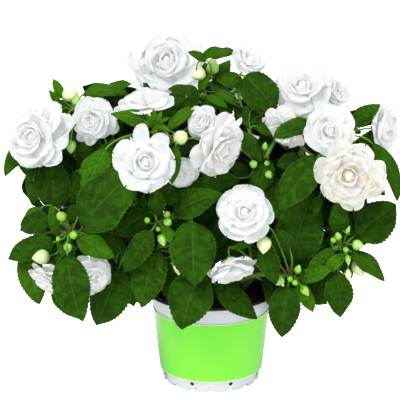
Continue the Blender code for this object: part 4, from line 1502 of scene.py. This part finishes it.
def make_pot():
    """The thin pot: white outside, black inside and over its rolled rim, with drain holes."""
    outside, inside = pot_profiles()
    shape = Shape()
    shape.add(*lathe(outside + rim_arc() + inside[1:], POT_SIDES, notch_foot))
    white_faces = (len(outside) - 1) * POT_SIDES
    side_faces = len(shape.faces) - 2 * POT_SIDES
    for index in range(len(shape.faces)):
        shape.looks[index] = int(index >= white_faces)
    for index in range(side_faces, len(shape.faces)):
        shape.looks[index] = (index - side_faces) % 2
    pot = piece(shape, "pot_shell", [white_plastic_look(), black_plastic_look()], "pot_plastic", "pot")
    cut_drain_holes(pot)


def cut_drain_holes(pot):
    """Cuts the drain holes with a boolean, whose result becomes the pot's own mesh."""
    rods = Shape()
    for i in range(DRAINS):
        angle = math.tau * (i + 0.5) / DRAINS
        out = at(math.cos(angle), math.sin(angle), 0)
        middle = out * FOOT_RADIUS + at(0, 0, DRAIN_HEIGHT)
        line = [middle - out * FOOT_BAND, middle, middle + out * FOOT_BAND]
        rods.add(*tube(line, [DRAIN_RADIUS] * 3, DRAIN_SIDES))
    cutter = rods.build("drain_cutter", list(pot.data.materials))
    cut = pot.modifiers.new("drain", "BOOLEAN")
    cut.operation = "DIFFERENCE"
    cut.solver = "EXACT"
    cut.object = cutter
    result = pot.evaluated_get(bpy.context.evaluated_depsgraph_get())
    applied = bpy.data.meshes.new_from_object(result)
    pot.modifiers.clear()
    pot.data = applied
    pot.data.name = "pot_shell"
    bpy.data.objects.remove(cutter)


def make_label():
    """The printed film round the wall, with its overlap at the back."""
    angles = round_angles(POT_SIDES)
    risen = smooth((angles - OVERLAP_START) / OVERLAP_STEP)
    lifted = risen * smooth((OVERLAP_START + OVERLAP_SPAN - angles) / OVERLAP_FADE)
    rings = []
    for height, outer in ((LABEL_BOTTOM, 0), (LABEL_BOTTOM, 1), (LABEL_TOP, 1), (LABEL_TOP, 0)):
        radius = wall_radius(height) + LABEL_GAP + outer * LABEL_THICKNESS
        rings.append(level_ring(radius + outer * OVERLAP_LIFT * lifted, angles, height))
    faces = []
    for i in range(len(rings)):
        low, high = i * POT_SIDES, ((i + 1) % len(rings)) * POT_SIDES
        for j in range(POT_SIDES):
            k = (j + 1) % POT_SIDES
            faces.append((low + j, low + k, high + k, high + j))
    shape = Shape()
    shape.add(np.concatenate(rings), faces)
    piece(shape, "label_film", [label_look()], "label_print", "label_band")


def soil_height(x, y):
    """The crumbly top of the compost, a little higher in the middle."""
    height = SOIL_TOP - SOIL_SINK + SOIL_CROWN * (1 - (math.hypot(x, y) / SOIL_REACH) ** 2)
    for pitch, layer, depth in CRUMB_LAYERS:
        height += depth * noise.noise(Vector((x * pitch, y * pitch, layer)))
    return height


def crumble(ring, angles):
    """Gives a ring on top of the compost its crumbly height."""
    if ring[0, 2] >= SOIL_TOP:
        ring[:, 2] = [soil_height(x, y) for x, y, _ in ring]
    return ring


def make_soil():
    """The compost: a crumbly top over a plain plug that fills the pot."""
    top_radius = wall_radius(SOIL_TOP) - WALL - SOIL_WALL_GAP
    bottom_radius = wall_radius(FLOOR_TOP) - WALL - SOIL_FLOOR_GAP
    bottom = FLOOR_TOP + SOIL_FLOOR_GAP
    profile = [(0, bottom), (bottom_radius - 1, bottom), (bottom_radius, bottom + 1)]
    profile += [(top_radius, SOIL_TOP - SOIL_SHOULDER)]
    profile += [(top_radius * (1 - i / SOIL_RINGS), SOIL_TOP) for i in range(SOIL_RINGS)]
    profile += [(0, SOIL_TOP)]
    shape = Shape()
    shape.add(*lathe(profile, SOIL_SIDES, crumble))
    shape.points[0][-1, 2] = soil_height(0, 0)
    piece(shape, "soil_surface", [soil_look()], "compost", "soil")


def make_grains(random):
    """Pale grains and dark crumbs that lie half sunk in the compost."""
    shape = Shape()
    for i in range(GRAIN_COUNT):
        angle = random.uniform(0, math.tau)
        reach = GRAIN_REACH * math.sqrt(random.uniform(0.02, 1))
        x, y = reach * math.cos(angle), reach * math.sin(angle)
        size = random.uniform(*GRAIN_SIZES)
        lump = bmesh.new()
        bmesh.ops.create_icosphere(lump, subdivisions=2, radius=size)
        centre = at(x, y, soil_height(x, y) + size * GRAIN_LIFT)
        points = np.array([tuple(p.co) for p in lump.verts])
        faces = [tuple(p.index for p in face.verts) for face in lump.faces]
        lump.free()
        dents = np.array([noise.noise(Vector(p) * 0.9 + Vector((i, 0, 0))) for p in points])
        points = points * (1 + GRAIN_DENTS * dents)[:, None] * at(1, 1, GRAIN_HEIGHT) + centre
        shape.add(points, faces, 0 if i % 3 else 1)
    piece(shape, "soil_grains", [grain_look(), bpy.data.materials["compost"]], "compost")


def make_stems(look):
    branches = {}
    for stem in STEMS:
        branch = stem_branch(stem)
        branches[stem.name] = branch
        node = "stem_" + stem.name
        shape = Shape()
        shape.add(*tube(branch.line, branch.radii, STEM_SIDES))
        piece(shape, node + "_flesh", [look], "stem_green", node)
    return branches


def make_leaves(branches, looks):
    for leaf in LEAVES:
        node = "leaf_" + leaf.name
        shape = Shape()
        add_leaf(shape, leaf, branches[leaf.stem], dice(node))
        piece(shape, node + "_blade", looks, "leaf_green", node)
    for stem in sorted(SMALL_LEAVES):
        shape = Shape()
        for number, (base, tip, width, *bend) in enumerate(SMALL_LEAVES[stem]):
            leaf = Leaf(stem, stem, seen(*base), seen(*tip), width, None, *bend)
            add_leaf(shape, leaf, branches[stem], dice(stem, number))
        piece(shape, "small_leaves_" + stem, looks, "leaf_green")


def make_flowers(branches, petal, stalk):
    for flower in FLOWERS + MORE_FLOWERS:
        name = "flower_" + flower.name
        nodes = [name] if flower in FLOWERS else []
        petals = Shape()
        axes = add_petals(petals, flower, dice(name))
        piece(petals, name + "_petals", [petal], "petal_white", *nodes)
        green = Shape()
        add_flower_stalk(green, flower, axes, branches[flower.stem])
        piece(green, name + "_stalk", [stalk, stalk], "stem_green", *nodes)


def make_buds(branches, looks):
    for bud in BUDS:
        node = "bud_" + bud.name
        shape = Shape()
        add_bud(shape, bud, branches[bud.stem])
        piece(shape, node + "_closed", looks, "bud_cream", node)
    for place in sorted(SMALL_BUDS):
        shape = Shape()
        stem = SIDE_STEMS.get(place, place)
        for row in SMALL_BUDS[place]:
            add_bud(shape, Bud(place, stem, *row), branches[stem])
        piece(shape, "small_buds_" + place, looks, "bud_cream")


def make_foliage(name, branch, shoot, random, looks):
    """The leaves of one stem or side shoot, where any of them fits."""
    foliage = Shape()
    for leaf in whorl(branch, shoot, random):
        add_leaf(foliage, leaf, branch, random)
    if foliage.count:
        piece(foliage, name, looks, "leaf_green")


def make_stem_fill(branches, looks):
    """The leaves along the main stems, in the shade inside the mound."""
    for stem in STEMS:
        inner = Shoot(stem.name, stem.tip, STEM_FILL, size=40, span=0.55, fresh=0.0)
        random = dice("stem_" + stem.name)
        make_foliage("inner_leaves_" + stem.name, branches[stem.name], inner, random, looks)


def make_shoots(branches, stem_skin, looks):
    """The side shoots with their leaves."""
    for number, row in enumerate(SHOOTS):
        shoot = Shoot(*row)
        random = dice("stem_" + shoot.stem, number)
        branch = shoot_branch(branches[shoot.stem], shoot.tip)
        twig = Shape()
        twig.add(*tube(branch.line, branch.radii, SHOOT_SIDES))
        piece(twig, "side_shoot_%02d" % number, [stem_skin], "stem_green")
        make_foliage("side_leaves_%02d" % number, branch, shoot, random, looks)


def make_floor():
    """A wide pale floor that glows a little, so that it stays white round the pot."""
    shape = Shape()
    corners = np.array([(-1, -1, 0), (1, -1, 0), (1, 1, 0), (-1, 1, 0)]) * FLOOR_REACH
    shape.add(corners, [(0, 1, 2, 3)])
    look = Look("floor")
    haze = look.noise(look.place(), 2.0, 2.0)
    look.set(Base_Color=look.mix(haze, (0.80, 0.80, 0.80), (0.82, 0.82, 0.82)), Roughness=0.9)
    ray = look.tree.nodes.new("ShaderNodeLightPath")
    glow = look.times(ray.outputs["Is Camera Ray"], FLOOR_GLOW)
    look.set(Emission_Color=(1, 1, 1), Emission_Strength=glow, Specular_IOR_Level=0.0)
    shape.build("floor", [look.material])


def add_lamp(name, place, size, power):
    """A soft round lamp that shines on the plant, and that the camera doesn't see."""
    data = bpy.data.lights.new(name, "AREA")
    data.shape = "DISK"
    data.size = size
    data.energy = power
    lamp = bpy.data.objects.new(name, data)
    lamp.location = Vector(place) * MM
    aim = Vector(LAMP_TARGET) * MM - lamp.location
    lamp.rotation_mode = "QUATERNION"
    lamp.rotation_quaternion = aim.to_track_quat("-Z", "Y")
    lamp.visible_camera = False
    bpy.context.scene.collection.objects.link(lamp)


def soften_highlights(view):
    """Brings the shaded whites closer to the lit ones, as a bright studio picture does."""
    view.use_curve_mapping = True
    curve = view.curve_mapping.curves[3]
    for share, shown in HIGHLIGHT_CURVE:
        curve.points.new(share, shown)
    view.curve_mapping.update()


def make_world():
    """A white surround that looks brighter to the camera than the light that it gives."""
    world = bpy.data.worlds.new("studio")
    world.use_nodes = True
    nodes, links = world.node_tree.nodes, world.node_tree.links
    shown = nodes["Background"]
    lit = nodes.new("ShaderNodeBackground")
    for background, strength in ((shown, WORLD_SHOWN), (lit, WORLD_LIGHT)):
        background.inputs["Color"].default_value = (1, 1, 1, 1)
        background.inputs["Strength"].default_value = strength
    ray = nodes.new("ShaderNodeLightPath")
    mix = nodes.new("ShaderNodeMixShader")
    links.new(ray.outputs["Is Camera Ray"], mix.inputs[0])
    links.new(lit.outputs[0], mix.inputs[1])
    links.new(shown.outputs[0], mix.inputs[2])
    links.new(mix.outputs[0], nodes["World Output"].inputs["Surface"])
    bpy.context.scene.world = world


def make_light():
    for lamp in LAMPS:
        add_lamp(*lamp)
    make_world()
    view = bpy.context.scene.view_settings
    view.view_transform = "Standard"
    view.look = "Medium High Contrast"
    soften_highlights(view)


def make_camera():
    data = bpy.data.cameras.new("camera")
    data.sensor_width = SENSOR_WIDTH
    data.lens = FOCAL_PIXELS / PICTURE_SIZE * SENSOR_WIDTH
    data.clip_start = NEAREST_SHOWN
    data.clip_end = FARTHEST_SHOWN
    camera = bpy.data.objects.new("camera", data)
    camera.location = Vector(EYE) * MM
    camera.rotation_euler = (math.pi / 2 - PITCH, 0, 0)
    bpy.context.scene.collection.objects.link(camera)
    bpy.context.scene.camera = camera


def make_plant():
    """The stems, leaves, flowers, buds and side shoots, with the looks that they share."""
    leaf, stalk, stem = leaf_look(), stalk_look(), stem_look()
    petal, bud = petal_look(), bud_look()
    branches = make_stems(stem)
    make_leaves(branches, [leaf, stalk])
    make_flowers(branches, petal, stalk)
    make_buds(branches, [bud, stalk])
    make_stem_fill(branches, [leaf, stalk])
    make_shoots(branches, stem, [leaf, stalk])


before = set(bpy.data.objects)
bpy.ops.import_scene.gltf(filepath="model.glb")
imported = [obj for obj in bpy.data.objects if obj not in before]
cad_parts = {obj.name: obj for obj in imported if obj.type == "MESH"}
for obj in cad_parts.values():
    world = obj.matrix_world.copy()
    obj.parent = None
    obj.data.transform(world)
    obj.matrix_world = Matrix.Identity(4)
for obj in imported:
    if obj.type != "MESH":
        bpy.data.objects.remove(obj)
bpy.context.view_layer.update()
make_camera()
make_light()
make_floor()
make_pot()
make_label()
make_soil()
make_grains(dice("grains"))
make_plant()
